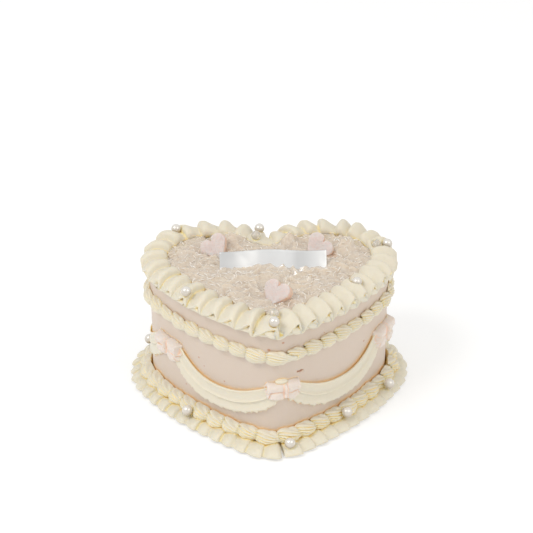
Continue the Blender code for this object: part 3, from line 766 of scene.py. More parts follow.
def bumps(board, *layers):
    """Surface detail from (pattern, depth in metres) layers."""
    normal = None
    for pattern, depth in layers:
        sockets = {"Height": pattern, "Distance": depth, "Strength": 1.0}
        if normal is not None:
            sockets["Normal"] = normal
        normal = board.add("ShaderNodeBump", None, sockets)["Normal"]
    return normal


def nook_of(board):
    return board.add("ShaderNodeAttribute", {"attribute_name": "nook"})["Fac"]


# Icing colours: the lit colour, the painted warm shade for nooks and creases, and the deepest painted shade
CREAM_LIGHT = (0.712, 0.650, 0.515)
CREAM_SHADE = (0.97, 0.80, 0.41)
CREAM_DEEP_SHADE = (0.98, 0.66, 0.17)
BLUSH_LIGHT = (0.61, 0.50, 0.41)
BLUSH_SHADE = (0.86, 0.62, 0.38)
BLUSH_DEEP_SHADE = (0.90, 0.56, 0.22)
PINK_LIGHT = (0.73, 0.635, 0.565)
PINK_SHADE = (0.86, 0.66, 0.50)
PINK_CREASE_SHADE = (0.86, 0.58, 0.42)


def icing(board, light, warm, deep, nook=None, near_range=(0.10, 0.60), far_range=(0.46, 0.88)):
    """Colour and fine skin of piped icing, with painted warm shade wherever it is shut in."""
    nook = nook or nook_of(board)
    cloud = speckle(board, 60.0, 3.0)
    # Painted shade: the nook weight blends the lit colour into the warm and then the deep shade colours
    near = (nook * (0.8 + 0.4 * cloud)).between(*near_range)
    far = (nook * (0.85 + 0.3 * cloud)).between(*far_range)
    colour = board.blend(near, light, warm)
    colour = board.blend(far, colour, deep)
    pores = speckle(board, 900.0, 2.0)
    grain = speckle(board, 2600.0, 2.0)
    return {
        "Base Color": colour,
        "Roughness": 0.40 + 0.16 * speckle(board, 300.0),
        "Normal": bumps(board, (pores, 0.00022), (grain, 0.00007)),
    }


def cream_icing(board):
    return icing(board, CREAM_LIGHT, CREAM_SHADE, CREAM_DEEP_SHADE)


def pink_icing(board):
    skin = icing(board, PINK_LIGHT, PINK_SHADE, CREAM_DEEP_SHADE)
    # Painted shade: the stored crease weight tints the bow's creases peach
    crease = board.add("ShaderNodeAttribute", {"attribute_name": "crease"})["Fac"]
    skin["Base Color"] = board.blend(crease, skin["Base Color"], PINK_CREASE_SHADE)
    return skin


def mark_at(board, place, height, long, tall):
    """1 at a spot of the side and 0 beyond its half sizes."""
    spot = SIDE.off(place, 0.0, height)
    away = board.vector("SUBTRACT", place_of(board), tuple(spot))
    away = board.vector("MULTIPLY", away, (1.0 / long, 1.0 / long, 1.0 / tall))
    reach = board.add("ShaderNodeVectorMath", {"operation": "LENGTH"}, (away,))["Value"]
    return 1.0 - (reach + 0.5 * (speckle(board, 700.0) - 0.5)).between(0.7, 1.1)


def blush_icing(board):
    """Smooth matte skin of the side with the few specks of cake in it, the gouge beside the tip and painted warm
    shade in its nooks, kept faint beside the upper shells.
    """
    height = board.add("ShaderNodeSeparateXYZ", None, (place_of(board),))["Z"]
    # Painted shade: the nook weight, and with it the painted warm shade, is cut back on the band beside the upper
    # shells
    by_shells = height.between(0.062, 0.066) * (1.0 - height.between(0.079, 0.083))
    nook = nook_of(board) * (1.0 - 0.7 * by_shells)
    skin = icing(board, BLUSH_LIGHT, BLUSH_SHADE, BLUSH_DEEP_SHADE, nook, (0.05, 0.45), (0.30, 0.80))
    colour = skin["Base Color"]
    for place, height, size in SPECKS:
        colour = board.blend(mark_at(board, place, height, size, 0.8 * size), colour, SPECK_BROWN)
    colour = board.blend(mark_at(board, GOUGE_PLACE, GOUGE_HEIGHT, GOUGE_LENGTH, GOUGE_WIDTH), colour, GOUGE_BROWN)
    brushed = board.add("ShaderNodeTexNoise", None, {
        "Vector": board.vector("MULTIPLY", place_of(board), (1.0, 1.0, 0.06)), "Scale": 900.0})[0]
    skin["Normal"] = bumps(board, (speckle(board, 500.0), 0.0002), (brushed, 0.00012))
    skin["Base Color"] = colour
    return skin


def jelly_skin(board, light, warm):
    """Wet translucent jelly with swirling streaks in it, and painted warm shade where it is shut in."""
    streaks = board.add("ShaderNodeTexNoise", None, {
        "Vector": place_of(board), "Scale": 150.0, "Detail": 3.0, "Roughness": 0.6, "Distortion": 3.2})[0]
    cloud = speckle(board, 55.0, 2.0)
    colour = board.blend(streaks.between(0.30, 0.70), warm, light)
    colour = board.blend(cloud.between(0.45, 0.75) * 0.35, colour, (0.74, 0.61, 0.45))
    # Painted shade: warm beige blended in by the nook weight
    colour = board.blend(nook_of(board).between(0.35, 1.0), colour, (0.88, 0.66, 0.42))
    return {
        "Base Color": colour,
        "Roughness": 0.06 + 0.16 * streaks,
        "Normal": bumps(board, (streaks, 0.0004), (speckle(board, 650.0), 0.0004)),
    }


def jelly_heap(board):
    return jelly_skin(board, (0.68, 0.58, 0.47), (0.60, 0.49, 0.38))


# Near-white flakes of jelly: real torn flakes whose pale colour is a painted glint
def clear_jelly_glints(board):
    return jelly_skin(board, (0.97, 0.94, 0.90), (0.86, 0.80, 0.71))


def sugared(board):
    """Pale pink gummy under coarse sugar with peach sides, and painted peach shade where it is shut in."""
    cloud = speckle(board, 240.0, 3.0)
    colour = board.blend(cloud.between(0.3, 0.7), (0.74, 0.655, 0.62), (0.73, 0.595, 0.55))
    side = board.add("ShaderNodeAttribute", {"attribute_name": "side"})["Fac"]
    colour = board.blend(side * 0.9, colour, (0.90, 0.61, 0.45))
    # Painted shade: the nook weight tints the sweet peach where it is shut in
    colour = board.blend(nook_of(board).between(0.25, 0.9), colour, (0.90, 0.54, 0.38))
    grains = board.add("ShaderNodeTexVoronoi", {"feature": "F1"}, {
        "Vector": place_of(board), "Scale": 1500.0})["Distance"]
    return {
        "Base Color": colour,
        "Roughness": 0.45 + 0.35 * grains,
        "Normal": bumps(board, (grains, 0.0003)),
    }


def pearly(board):
    """Pearl skin with painted shade: light above, darker round its lower half, with a faint cloud in it."""
    low = board.add("ShaderNodeAttribute", {"attribute_name": "low"})["Fac"]
    cloud = speckle(board, 330.0, 2.0)
    # Painted shade: the lower half of each pearl is blended to a dull dark colour
    shade = (low + 0.35 * (cloud - 0.5)).between(0.05, 0.70)
    colour = board.blend(shade, (0.80, 0.76, 0.70), (0.50, 0.43, 0.34))
    return {"Base Color": colour, "Roughness": 0.20 + 0.08 * cloud,
            "Normal": bumps(board, (speckle(board, 700.0), 0.00006))}


def glassy(board):
    cloud = speckle(board, 300.0)
    return {"Base Color": board.blend(cloud, (0.98, 0.95, 0.90), (0.92, 0.86, 0.78)),
            "Roughness": 0.03 + 0.04 * cloud,
            "Normal": bumps(board, (speckle(board, 500.0), 0.0001))}


def foil(board):
    """Thin silver sheet with the soft light and dark bands of its bends painted into its colour as reflections."""
    cloud = speckle(board, 45.0, 2.0)
    brushed = speckle(board, 1600.0, 2.0)
    across = board.add("ShaderNodeSeparateXYZ", None, (place_of(board),))["X"]
    share = (across - STRIP_CENTRE[0]) / STRIP_LENGTH + 0.5 + 0.05 * (cloud - 0.5)
    # Painted reflection: grey bands along the strip stand for the light and dark of its bends
    bands = board.add("ShaderNodeValToRGB", {"stops": [
        (place, (grey, grey, grey * 0.995)) for place, grey in FOIL_REFLECTION_BANDS]}, (share,))["Color"]
    return {"Base Color": bands,
            "Roughness": 0.24 + 0.12 * cloud,
            "Normal": bumps(board, (speckle(board, 90.0, 1.0), 0.0003), (brushed, 0.00002))}


SOFT = {"Subsurface_Weight": 0.45, "Subsurface_Scale": 0.0026, "Subsurface_Radius": (1.0, 0.85, 0.6)}
CREAM = paint("cream_icing", cream_icing, **SOFT)
PINK = paint("pink_icing", pink_icing, **SOFT)
BLUSH = paint("blush_icing", blush_icing, **SOFT)
HEAP = paint("jelly_heap", jelly_heap, Coat_Weight=1.0, Coat_Roughness=0.05, Subsurface_Weight=0.8,
             Subsurface_Scale=0.005, Subsurface_Radius=(1.0, 0.93, 0.82))
JELLY = paint("clear_jelly_glints", clear_jelly_glints, Coat_Weight=1.0, Coat_Roughness=0.04)
SUGAR = paint("pink_sugar", sugared, Subsurface_Weight=0.6, Subsurface_Scale=0.004,
              Subsurface_Radius=(1.0, 0.7, 0.6))
PEARL = paint("pearl_sugar", pearly, Metallic=0.35, Coat_Weight=1.0, Coat_Roughness=0.06)
GLASS = paint("clear_bead", glassy, Transmission_Weight=0.6, IOR=1.42, Coat_Weight=1.0, Coat_Roughness=0.03)
FOIL = paint("silver_foil", foil, Metallic=1.0)


def piped_shell(name, length, half_height, depth, slope, seed):
    """One shell along +X from its ragged head to its tail, standing out to -Y. Its ridges lie nearly
    level, as the star nozzle leaves them, and close up towards the tail."""
    rng = random.Random(seed)
    phase = rng.uniform(-0.2, 0.2)
    fall = SHELL_FALL + rng.uniform(-0.15, 0.15)
    rows = []
    for j in range(SHELL_LENGTHWISE + 1):
        run = j / SHELL_LENGTHWISE
        tall = shell_swell(run, SHELL_TALL)
        deep = shell_swell(run, SHELL_DEEP)
        row = []
        for k in range(SHELL_ROUND):
            angle = 2 * math.pi * k / SHELL_ROUND
            out = math.cos(angle)
            up = math.sin(angle)
            level = (up + 1.0) / 2 * SHELL_RIDGES + phase + fall * (run - 0.4)
            ridge = abs(math.sin(math.pi * level)) ** 0.6
            rough = noise.noise(Vector((2.2 * run, 1.3 * up, seed))) + 0.5 * noise.noise(
                Vector((7.0 * run, 5.0 * up, seed)))
            reach = 1.0 - SHELL_RIDGE_DEPTH * (1.0 - ridge) * min(1.0, 1.6 * (1.05 - run)) + 0.05 * rough
            x = length * (run - SHELL_PEAK) - SHELL_JAG * ridge * max(0.0, 1.0 - 3.0 * run)
            z = half_height * (tall * up * (0.2 + 0.8 * reach) + slope * (run - 0.4))
            y = depth * deep * reach * out if out > 0 else 0.10 * depth * deep * out
            row.append((x, -y - 0.10 * depth, z))
        rows.append(row)
    bm = grid(rows, round_columns=True, capped=True)
    return add_mesh(name, outwards(bm))


def shell_swell(run, stops):
    """Value between (run, value) stops, eased."""
    for (a, low), (b, high) in zip(stops, stops[1:]):
        if run <= b:
            share = (run - a) / (b - a)
            return low + (high - low) * share * share * (3 - 2 * share)
    return stops[-1][1]


def shell_row(name, row, start, slope, seed, tip_extra):
    count, height, out, length, half_height, depth = row
    shells = [piped_shell(f"{name}_{k}", length, half_height, depth, slope, seed + k)
              for k in range(SHELL_KINDS)]
    group = collection_of(name + "_shapes", shells)
    path = SIDE.curve(name + "_path", start, out, height)
    item = add_mesh(name, bmesh.new())
    apply_tree(item, ROW_TREE, {
        "Path": path, "Shells": group, "Count": count, "Size Spread": 0.09, "Turn Spread": 0.13,
        "Tip Extra": tip_extra, "Seed": seed, "Material": CREAM})
    drop_collection(group)
    bpy.data.objects.remove(path)
    return item


def give_wall(item, thickness):
    """Give a ribbon its thickness, in the shares that its tree stored."""
    group = item.vertex_groups.new(name="thickness")
    for index, share in enumerate(item.data.attributes["wall"].data):
        group.add([index], min(1.0, max(0.0, share.value)), "REPLACE")
    wall = item.modifiers.new("wall", "SOLIDIFY")
    wall.thickness = thickness
    wall.offset = -1.0
    wall.vertex_group = group.name
    flatten(item)
    item.vertex_groups.clear()
    return item


def ball_places(nodes):
    """Centres of the balls of some nodes."""
    return {node: (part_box(node)[0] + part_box(node)[1]) / 2 for node in nodes}


def press_balls(item, balls, radius):
    """Push down a surface under the balls that lie on it."""
    for vertex in item.data.vertices:
        for centre in balls:
            away = math.hypot(vertex.co.x - centre.x, vertex.co.y - centre.y)
            if away > 2.2 * radius:
                continue
            if away < radius:
                floor = centre.z - math.sqrt(radius * radius - away * away)
            else:
                floor = centre.z + 1.2 * (away - radius)
            if vertex.co.z > floor > vertex.co.z - 0.008:
                vertex.co.z = floor


RUFFLE_TREE = fold_ribbon_tree("top_folds", {
    "crest_out": RUFFLE_CREST_OUT, "crest_up": RUFFLE_CREST_UP, "valley_out": RUFFLE_VALLEY_OUT,
    "valley_up": RUFFLE_VALLEY_UP, "lean": RUFFLE_LEAN, "rise": FOLD_RISE, "left_rise": LEFT_RISE,
    "inner_rise": END_RISE, "place": FOLD_PLACE, "left_place": LEFT_PLACE, "inner_place": END_PLACE,
    "bulge": FOLD_BULGE, "valley_wall": RUFFLE_VALLEY_WALL, "crest_wall": RUFFLE_CREST_WALL})
SKIRT_TREE = fold_ribbon_tree("foot_pleats", {
    "crest_out": SKIRT_CREST_OUT, "crest_up": SKIRT_CREST_UP, "valley_out": SKIRT_VALLEY_OUT,
    "valley_up": SKIRT_VALLEY_UP, "lean": SKIRT_LEAN, "rise": PLEAT_RISE, "left_rise": PLEAT_RISE,
    "inner_rise": PLEAT_RISE, "place": PLEAT_PLACE, "left_place": PLEAT_PLACE,
    "inner_place": PLEAT_PLACE, "bulge": FOLD_BULGE, "valley_wall": SKIRT_WALL, "crest_wall": SKIRT_WALL})
ROW_TREE = piped_row_tree()
SCATTER_TREE = scatter_tree()
BALL_TREE = ball_tree()
NOOK_TREE = nook_tree()


def ring(name, section, path, start, end, step, closed=True):
    """Plain ring of icing round the cake with a fixed (out, height) section."""
    count = math.ceil((end - start) / step)
    stops = count if closed else count + 1
    rows = [[path.off(start + (end - start) * k / count, out, height) for out, height in section]
            for k in range(stops)]
    return add_mesh(name, outwards(grid(rows, closed, True, not closed)))


def fold_roots(name, path):
    """Thick rounded roots of the folds, low under each crest, where the nozzle held the ribbon."""
    bm = bmesh.new()
    for k in range(RUFFLE_FOLDS):
        share = (k + ROOT_SHARE) / RUFFLE_FOLDS
        share -= RUFFLE_DRIFT * (1.0 - math.cos(2 * math.pi * share)) / (2 * math.pi)
        place = RUFFLE_START + path.length * share
        point, outward = path.at(place)
        if point.x < ROOT_LEAST_X:
            continue
        along = outward.cross(Vector((0.0, 0.0, 1.0)))
        centre = path.off(place, ROOT_OUT, BODY_HEIGHT + ROOT_UP)
        turn = Matrix((-along, outward, Vector((0.0, 0.0, 1.0)))).transposed().to_4x4()
        tilt = Matrix.Rotation(ROOT_TILT, 4, "Y")
        stretch = Matrix.Diagonal((*ROOT_SIZE, 1.0))
        bmesh.ops.create_uvsphere(bm, u_segments=28, v_segments=18, radius=1.0,
                                  matrix=Matrix.Translation(centre) @ turn @ tilt @ stretch)
    return add_mesh(name, outwards(bm))


def top_ruffle():
    path = HeartPath(-0.003, CLEFT_RADIUS + 0.003)
    line = path.curve("ruffle_path", 0.0, None, BODY_HEIGHT)
    item = add_mesh("ruffle_ribbon", bmesh.new())
    apply_tree(item, RUFFLE_TREE, {
        "Path": line, "Path Out": path.offset, "Start": RUFFLE_START, "Folds": RUFFLE_FOLDS,
        "Steps": RUFFLE_STEPS, "Across": RUFFLE_ACROSS, "Size Spread": 0.10, "Slide Spread": 0.0012,
        "Wobble": 0.0005, "Drift": RUFFLE_DRIFT, "Back Lift": 0.0026, "Seed": 5, "Material": CREAM})
    bpy.data.objects.remove(line)
    press_balls(item, list(ball_places(TOP_PEARL_NODES).values()), 0.0040)
    press_balls(item, list(ball_places(BEAD_NODES).values()), 0.0034)
    give_wall(item, RUFFLE_THICKNESS)
    base = BODY_HEIGHT
    core = ring("ruffle_core", (
        (-0.0125, base + 0.0003), (-0.0122, base + 0.0030), (-0.0080, base + 0.0042),
        (-0.0020, base + 0.0044), (0.0018, base + 0.0036), (0.0038, base + 0.0022),
        (0.0046, base + 0.0004), (0.0042, base - 0.0006), (0.0030, base - 0.0011), (0.0006, base - 0.0012),
        (0.0001, base + 0.0002)), path, 0.0, path.length, 0.002)
    return join("ruffle_folds", [item, core, fold_roots("ruffle_roots", path)])


def base_ruffle():
    path = HeartPath(0.009, CLEFT_RADIUS + 0.0005)
    line = path.curve("skirt_path")
    item = add_mesh("skirt_ribbon", bmesh.new())
    apply_tree(item, SKIRT_TREE, {
        "Path": line, "Path Out": path.offset, "Start": SKIRT_SPLIT + SKIRT_SPLIT_WIDTH / 2,
        "Opening": SKIRT_SPLIT_WIDTH, "Folds": SKIRT_PLEATS, "Steps": SKIRT_STEPS,
        "Across": SKIRT_ACROSS, "Size Spread": 0.14, "Slide Spread": 0.0009, "Wobble": 0.0003,
        "Tip Reach": SKIRT_TIP_REACH, "Seed": 9, "Material": CREAM})
    bpy.data.objects.remove(line)
    for vertex in item.data.vertices:
        vertex.co.z = max(vertex.co.z, 0.0011)
    give_wall(item, SKIRT_THICKNESS)
    pad = ring("skirt_pad", (
        (0.0005, 0.0), (0.0005, 0.0038), (0.0060, 0.0036), (0.0110, 0.0014), (0.0128, 0.0012),
        (0.0128, 0.0)), path, SKIRT_SPLIT + SKIRT_SPLIT_WIDTH / 2,
        SKIRT_SPLIT - SKIRT_SPLIT_WIDTH / 2 + path.length, 0.002, closed=False)
    return join("foot_pleats", [item, pad])


def spread(start, end, step, centre, fine_step, reach):
    """Places from start to end, closer together round a centre."""
    places = [start]
    while places[-1] < end:
        near = abs(places[-1] - centre) < reach
        places.append(places[-1] + (fine_step if near else step))
    return [start + (place - start) * (end - start) / (places[-1] - start) for place in places]


def cake_body():
    """Iced side with its slight waves and the one gouge beside the tip, over a plain top and foot."""
    places = spread(0.0, SIDE.length, BODY_STEP, GOUGE_PLACE, 0.00035, 0.0045)[:-1]
    heights = spread(0.0, BODY_HEIGHT, BODY_ROW, GOUGE_HEIGHT, 0.00022, 0.0022)
    rows = []
    for place in places:
        point, outward = SIDE.at(place)
        row = []
        for height in heights:
            spot = Vector((point.x, point.y, height))
            wave = noise.noise(spot * 38.0) + 0.35 * noise.noise(spot * 110.0)
            along = (place - GOUGE_PLACE) / GOUGE_LENGTH
            line = GOUGE_HEIGHT + 0.0004 * math.sin(5.0 * along) - 0.0006 * along
            across = (height - line) / GOUGE_WIDTH
            cut = math.exp(-(along ** 4) - across ** 2) - 0.22 * math.exp(-(along ** 4) - (across - 1.8) ** 2)
            fade = min(1.0, height / 0.004, (BODY_HEIGHT - height) / 0.004)
            row.append(spot + outward * (BODY_WAVE * wave * fade - GOUGE_DEPTH * cut))
        rows.append(row)
    bm = grid(rows, round_rows=True)
    bm.verts.ensure_lookup_table()
    count = len(heights)
    bm.faces.new([bm.verts[k * count] for k in range(len(places))])
    bm.faces.new([bm.verts[k * count + count - 1] for k in range(len(places))])
    return add_mesh("iced_body", outwards(bm))


def swag(name, first, last, seed):
    """Ribbon of icing that hangs between two bows, with a ridge along its middle."""
    start = first[0] + SWAG_END
    end = last[0] + (SIDE.length if last[0] < first[0] else 0.0) - SWAG_END
    span = end - start

    def middle(part):
        ends = first[2] if part < 0.5 else last[2]
        return start + span * part, SWAG_LOW_Z + (ends - SWAG_LOW_Z) * abs(2 * part - 1) ** SWAG_SAG_POWER

    rows = []
    for k in range(SWAG_STEPS + 1):
        part = k / SWAG_STEPS
        before = middle(max(0.0, part - 0.01))
        after = middle(min(1.0, part + 0.01))
        run = math.hypot(after[0] - before[0], after[1] - before[1])
        across = (-(after[1] - before[1]) / run, (after[0] - before[0]) / run)
        place, height = middle(part)
        taper = abs(2 * part - 1) ** 6
        width = SWAG_WIDTH + (SWAG_END_WIDTH - SWAG_WIDTH) * taper
        row = []
        for out, b in SWAG_SECTION:
            rough = noise.noise(Vector((place * 260.0, b * 3.0, seed)))
            torn = noise.noise(Vector((place * 380.0, 7.0, seed))) + 0.8 * noise.noise(
                Vector((place * 900.0, 2.0, seed)))
            ragged = 0.0021 * torn * max(0.0, -b * 2) ** 3
            thick = SWAG_THICKNESS * out * (1.0 + 0.10 * rough) * (1.0 - 0.6 * abs(2 * part - 1) ** 4)
            thick *= FLAT_SHARE if seed == FLAT_GARLAND else 1.0
            side = width * b + ragged
            row.append(SIDE.off(place + across[0] * side, thick + 0.0002, height + across[1] * side))
        rows.append(row)
    item = smooth(add_mesh("ribbon", outwards(grid(rows, round_columns=True, capped=True))), 1)
    dabs = [dab(*spot) for garland, *spot in DABS if garland == seed]
    return join(name, [item] + dabs)


def smooth(item, levels):
    """Round off a coarse mesh."""
    rounder = item.modifiers.new("round", "SUBSURF")
    rounder.levels = levels
    rounder.render_levels = levels
    return flatten(item)


def ease(value, low, high):
    """0 below low, 1 above high and a smooth step in between."""
    share = min(1.0, max(0.0, (value - low) / (high - low)))
    return share * share * (3 - 2 * share)


def swell(value, centre, half):
    """1 at the centre, falling off to both sides."""
    return math.exp(-((value - centre) / half) ** 2)


def bow_depth(across, up):
    """How far a bow stands out in millimetres at a place in it: two rolled loops above, two fat lobes
    below and a pinched middle."""
    side = abs(across)
    roll = math.sqrt(max(0.0, 1.0 - ((up - 4.4) / 5.0) ** 2))
    loop = 2.6 + 3.4 * roll * (0.55 + 0.45 * ease(side, 0.04, 0.35))
    loop += 0.9 * swell(side, 0.84, 0.07) - 4.2 * swell(side, 1.02, 0.09) * swell(up, 4.4, 3.0)
    loop = 1.4 + (loop - 1.4) * ease(up, -1.6, 0.8)
    near = math.hypot((side - 0.50) / 0.60, (up + 2.4) / 5.4)
    lobe = 1.4 + 4.6 * math.sqrt(max(0.0, 1.0 - near * near))
    lobe -= 1.5 * swell(side + 0.03 * up, 0.74, 0.035) * ease(-up, 0.0, 2.0)
    depth = max(loop, lobe) - 0.9 * math.exp(-abs(loop - lobe) / 0.6) * ease(side, 0.1, 0.3)
    return depth + 2.6 * swell(across, 0.0, 0.06) * ease(up, -5.5, -2.0)


def bow(name, spec, seed):
    """Piped bow: a soft body of icing with rolled loops, fanned tails and a pinched middle."""
    place, height, _, half_width, size = spec
    rows = []
    depths = []
    for i in range(BOW_ACROSS + 1):
        s = 2.0 * i / BOW_ACROSS - 1.0
        row = []
        for j in range(BOW_TALL + 1):
            t = 2.0 * j / BOW_TALL - 1.0
            across = BOW_REACH * s * math.sqrt(1.0 - 0.22 * t * t)
            foot = BOW_FOOT + 1.8 * swell(across, 0.0, 0.16) + 1.4 * across ** 4 + 0.3 * math.sin(9.0 * across + seed)
            top = BOW_TOP - 0.6 * swell(across, 0.0, 0.12) + 0.3 * math.sin(4.0 * across + seed)
            up = foot + (top - foot) * (0.5 + 0.5 * t * math.sqrt(1.0 - 0.16 * s * s))
            edge = math.sqrt(max(0.0, 1.0 - s ** 8) * max(0.0, 1.0 - t ** 8))
            rough = noise.noise(Vector((3.0 * across, 0.3 * up, seed)))
            rough += 0.4 * noise.noise(Vector((8.0 * across, 0.9 * up, seed)))
            lean = 0.05 * rough
            drop = 0.9 * math.sin(4.0 * across + 2.0 * seed)
            out = (bow_depth(across + lean, up + drop) + 0.6 * rough) * edge * size - 0.4
            depths.append(out)
            row.append(SIDE.off(place + (across + lean) * half_width, 0.001 * out, height + 0.001 * up * size))
        rows.append(row)
    bm = grid(rows)
    rim = [edge for edge in bm.edges if edge.is_boundary]
    bmesh.ops.holes_fill(bm, edges=rim)
    item = add_mesh(name, outwards(bm))
    store_crease_shade(item, depths)
    return item


def store_crease_shade(item, depths):
    """Store how far each place of a bow lies below the places round it, as the weight of the painted shade in its
    creases.
    """
    tall = BOW_TALL + 1
    creases = []
    for index, depth in enumerate(depths):
        i, j = divmod(index, tall)
        crease = 0.0
        for di, dj in ((4, 0), (0, 4)):
            if di <= i <= BOW_ACROSS - di and dj <= j <= BOW_TALL - dj:
                step = di * tall + dj
                crease = max(crease, (depths[index + step] + depths[index - step]) / 2 - depth)
        creases.append(0.8 * ease(crease, 0.05, 0.90))
    item.data.attributes.new("crease", "FLOAT", "POINT").data.foreach_set("value", creases)


def dab(place, height, out, size):
    """Rounded dab of icing on the side."""
    point, outward = SIDE.at(place)
    along = Vector((0.0, 0.0, 1.0)).cross(outward)
    turn = Matrix((along, outward, Vector((0.0, 0.0, 1.0)))).transposed().to_4x4()
    bm = bmesh.new()
    bmesh.ops.create_uvsphere(bm, u_segments=24, v_segments=14, radius=1.0, matrix=Matrix.Translation(
        SIDE.off(place, out, height)) @ turn @ Matrix.Diagonal((*size, 1.0)))
    return add_mesh("dab", outwards(bm))


def filling_height(x, y):
    """Height of the jelly's surface above the cake's top at a point, without its crags."""
    swell = 1.0 - (x / 0.075) ** 2 - ((y - 0.01) / 0.08) ** 2
    return FILLING_EDGE_HEIGHT + FILLING_CROWN * max(0.0, swell)


def shard(name, rng, size):
    """Broken chip of jelly: a sharp lump of few faces."""
    bm = bmesh.new()
    for _ in range(14):
        spot = Vector((rng.gauss(0, 1), rng.gauss(0, 1), rng.gauss(0, 1))).normalized()
        bm.verts.new(Vector((spot.x, spot.y * 0.8, spot.z * 0.55)) * size * rng.uniform(0.42, 0.52))
    hull = bmesh.ops.convex_hull(bm, input=bm.verts)
    loose = {v for v in hull["geom_interior"] + hull["geom_unused"] if isinstance(v, bmesh.types.BMVert)}
    bmesh.ops.delete(bm, geom=list(loose), context="VERTS")
    item = add_mesh(name, outwards(bm))
    item.data.shade_flat()
    return item


def flake(name, rng, length, width, thick):
    """Torn flake of jelly: a short bent strip, thicker in its middle and ragged at its ends."""
    bend = rng.uniform(0.5, 1.5)
    twist = rng.uniform(-0.7, 0.7)
    top = []
    foot = []
    for i in range(6):
        u = i / 5 - 0.5
        angle = bend * u
        arch = Vector((math.sin(angle), 0.0, math.cos(angle) - 1.0)) * (length / bend)
        upward = Vector((math.sin(angle), 0.0, math.cos(angle)))
        row_top = []
        row_foot = []
        for j in range(3):
            v = j / 2 - 0.5
            wide = width * (1.0 - 1.6 * u * u) * rng.uniform(0.75, 1.15)
            across = Vector((0.0, math.cos(twist * u), math.sin(twist * u))) * (v * wide)
            half = 0.5 * thick * (1.0 - 1.3 * abs(v)) * (1.0 - 1.2 * u * u) * rng.uniform(0.7, 1.3)
            row_top.append(arch + across + upward * half)
            row_foot.append(arch + across - upward * half)
        top.append(row_top)
        foot.append(row_foot)
    rows = [a + b[::-1] for a, b in zip(top, foot)]
    item = add_mesh(name, outwards(grid(rows, round_columns=True, capped=True)))
    return item


def collection_of(name, items):
    group = bpy.data.collections.new(name)
    bpy.context.scene.collection.children.link(group)
    for item in items:
        bpy.context.scene.collection.objects.unlink(item)
        group.objects.link(item)
    return group


def drop_collection(group):
    for item in list(group.objects):
        bpy.data.objects.remove(item)
    bpy.data.collections.remove(group)


def set_cover(item, share):
    """Store how thickly each point of a surface is strewn."""
    cover = item.data.attributes.new("cover", "FLOAT", "POINT")
    cover.data.foreach_set("value", [share(vertex.co) for vertex in item.data.vertices])


def clear_of_sweets(spot):
    """1 away from the sweets and the strip, 0 under them."""
    for x, y, *_ in SWEETS.values():
        if math.hypot(spot.x - x, (spot.y - y) * 1.2) < 0.0095:
            return 0.0
    beside = abs(spot.x - STRIP_CENTRE[0]) < STRIP_LENGTH / 2 + 0.001
    if beside and -0.0045 < spot.y - STRIP_CENTRE[1] < 0.0125:
        return 0.0
    return 1.0


def finder(points):
    """Search tree over points of the top."""
    tree = KDTree(len(points))
    for k, point in enumerate(points):
        tree.insert(point.to_3d(), k)
    tree.balance()
    return tree


def shreds(spot):
    """Height of the curled shreds that the crushed jelly lies in."""
    place = spot.to_3d()
    place += 0.006 * noise.noise_vector(place * 70.0)
    broad = 1.0 - 2.0 * abs(noise.noise(place * 105.0))
    fine = 1.0 - 2.0 * abs(noise.noise(place * 330.0 + Vector((0.0, 0.0, 4.0))))
    return 0.0022 * broad + 0.0003 * fine


def filling():
    """Heap of crushed jelly: a dome of curled shreds."""
    rng = random.Random(11)
    edge = HeartPath(FILLING_EDGE, CLEFT_RADIUS - FILLING_EDGE)
    count = round(edge.length / 0.0012)
    rim = [edge.at(edge.length * k / count)[0].xy for k in range(count)]
    inward = [-edge.at(edge.length * k / count)[1].xy for k in range(count)]
    chunks = []
    for _ in range(700):
        spot = Vector((rng.uniform(-0.078, 0.078), rng.uniform(-0.065, 0.065)))
        chunks.append((spot, rng.uniform(-1, 1), Vector((rng.uniform(-1, 1), rng.uniform(-1, 1)))))
    near_rim = finder(rim)
    near_chunk = finder([chunk[0] for chunk in chunks])
    spots = list(rim)
    step = 0.0009
    for j in range(-75, 76):
        for i in range(-90, 91):
            spot = Vector((i * step + 0.3 * step * rng.uniform(-1, 1), j * step + 0.3 * step * rng.uniform(-1, 1)))
            nearest = near_rim.find(spot.to_3d())[1]
            if (spot - rim[nearest]).dot(inward[nearest]) > 0.7 * step:
                spots.append(spot)
    flat, _, faces, _, _, _ = delaunay_2d_cdt(spots, [], [list(range(count))], 1, 1e-7)
    bm = bmesh.new()
    top = []
    for spot in flat:
        centre, high, tilt = chunks[near_chunk.find(spot.to_3d())[1]]
        rough = 0.0003 * high + 0.12 * tilt.dot(spot - centre) + shreds(spot)
        for x, y, wide, tall in JELLY_LUMPS:
            rough += tall * math.exp(-((spot.x - x) ** 2 + (spot.y - y) ** 2) / (0.5 * wide) ** 2)
        top.append(bm.verts.new((spot.x, spot.y, BODY_HEIGHT + filling_height(spot.x, spot.y) + rough)))
    for face in faces:
        bm.faces.new([top[k] for k in face])
    foot = [bm.verts.new((spot.x, spot.y, BODY_HEIGHT + 0.0003)) for spot in rim]
    bm.faces.new(foot)
    for k in range(count):
        n = (k + 1) % count
        bm.faces.new((foot[k], foot[n], top[n], top[k]))
    return add_mesh("jelly_heap", outwards(bm))


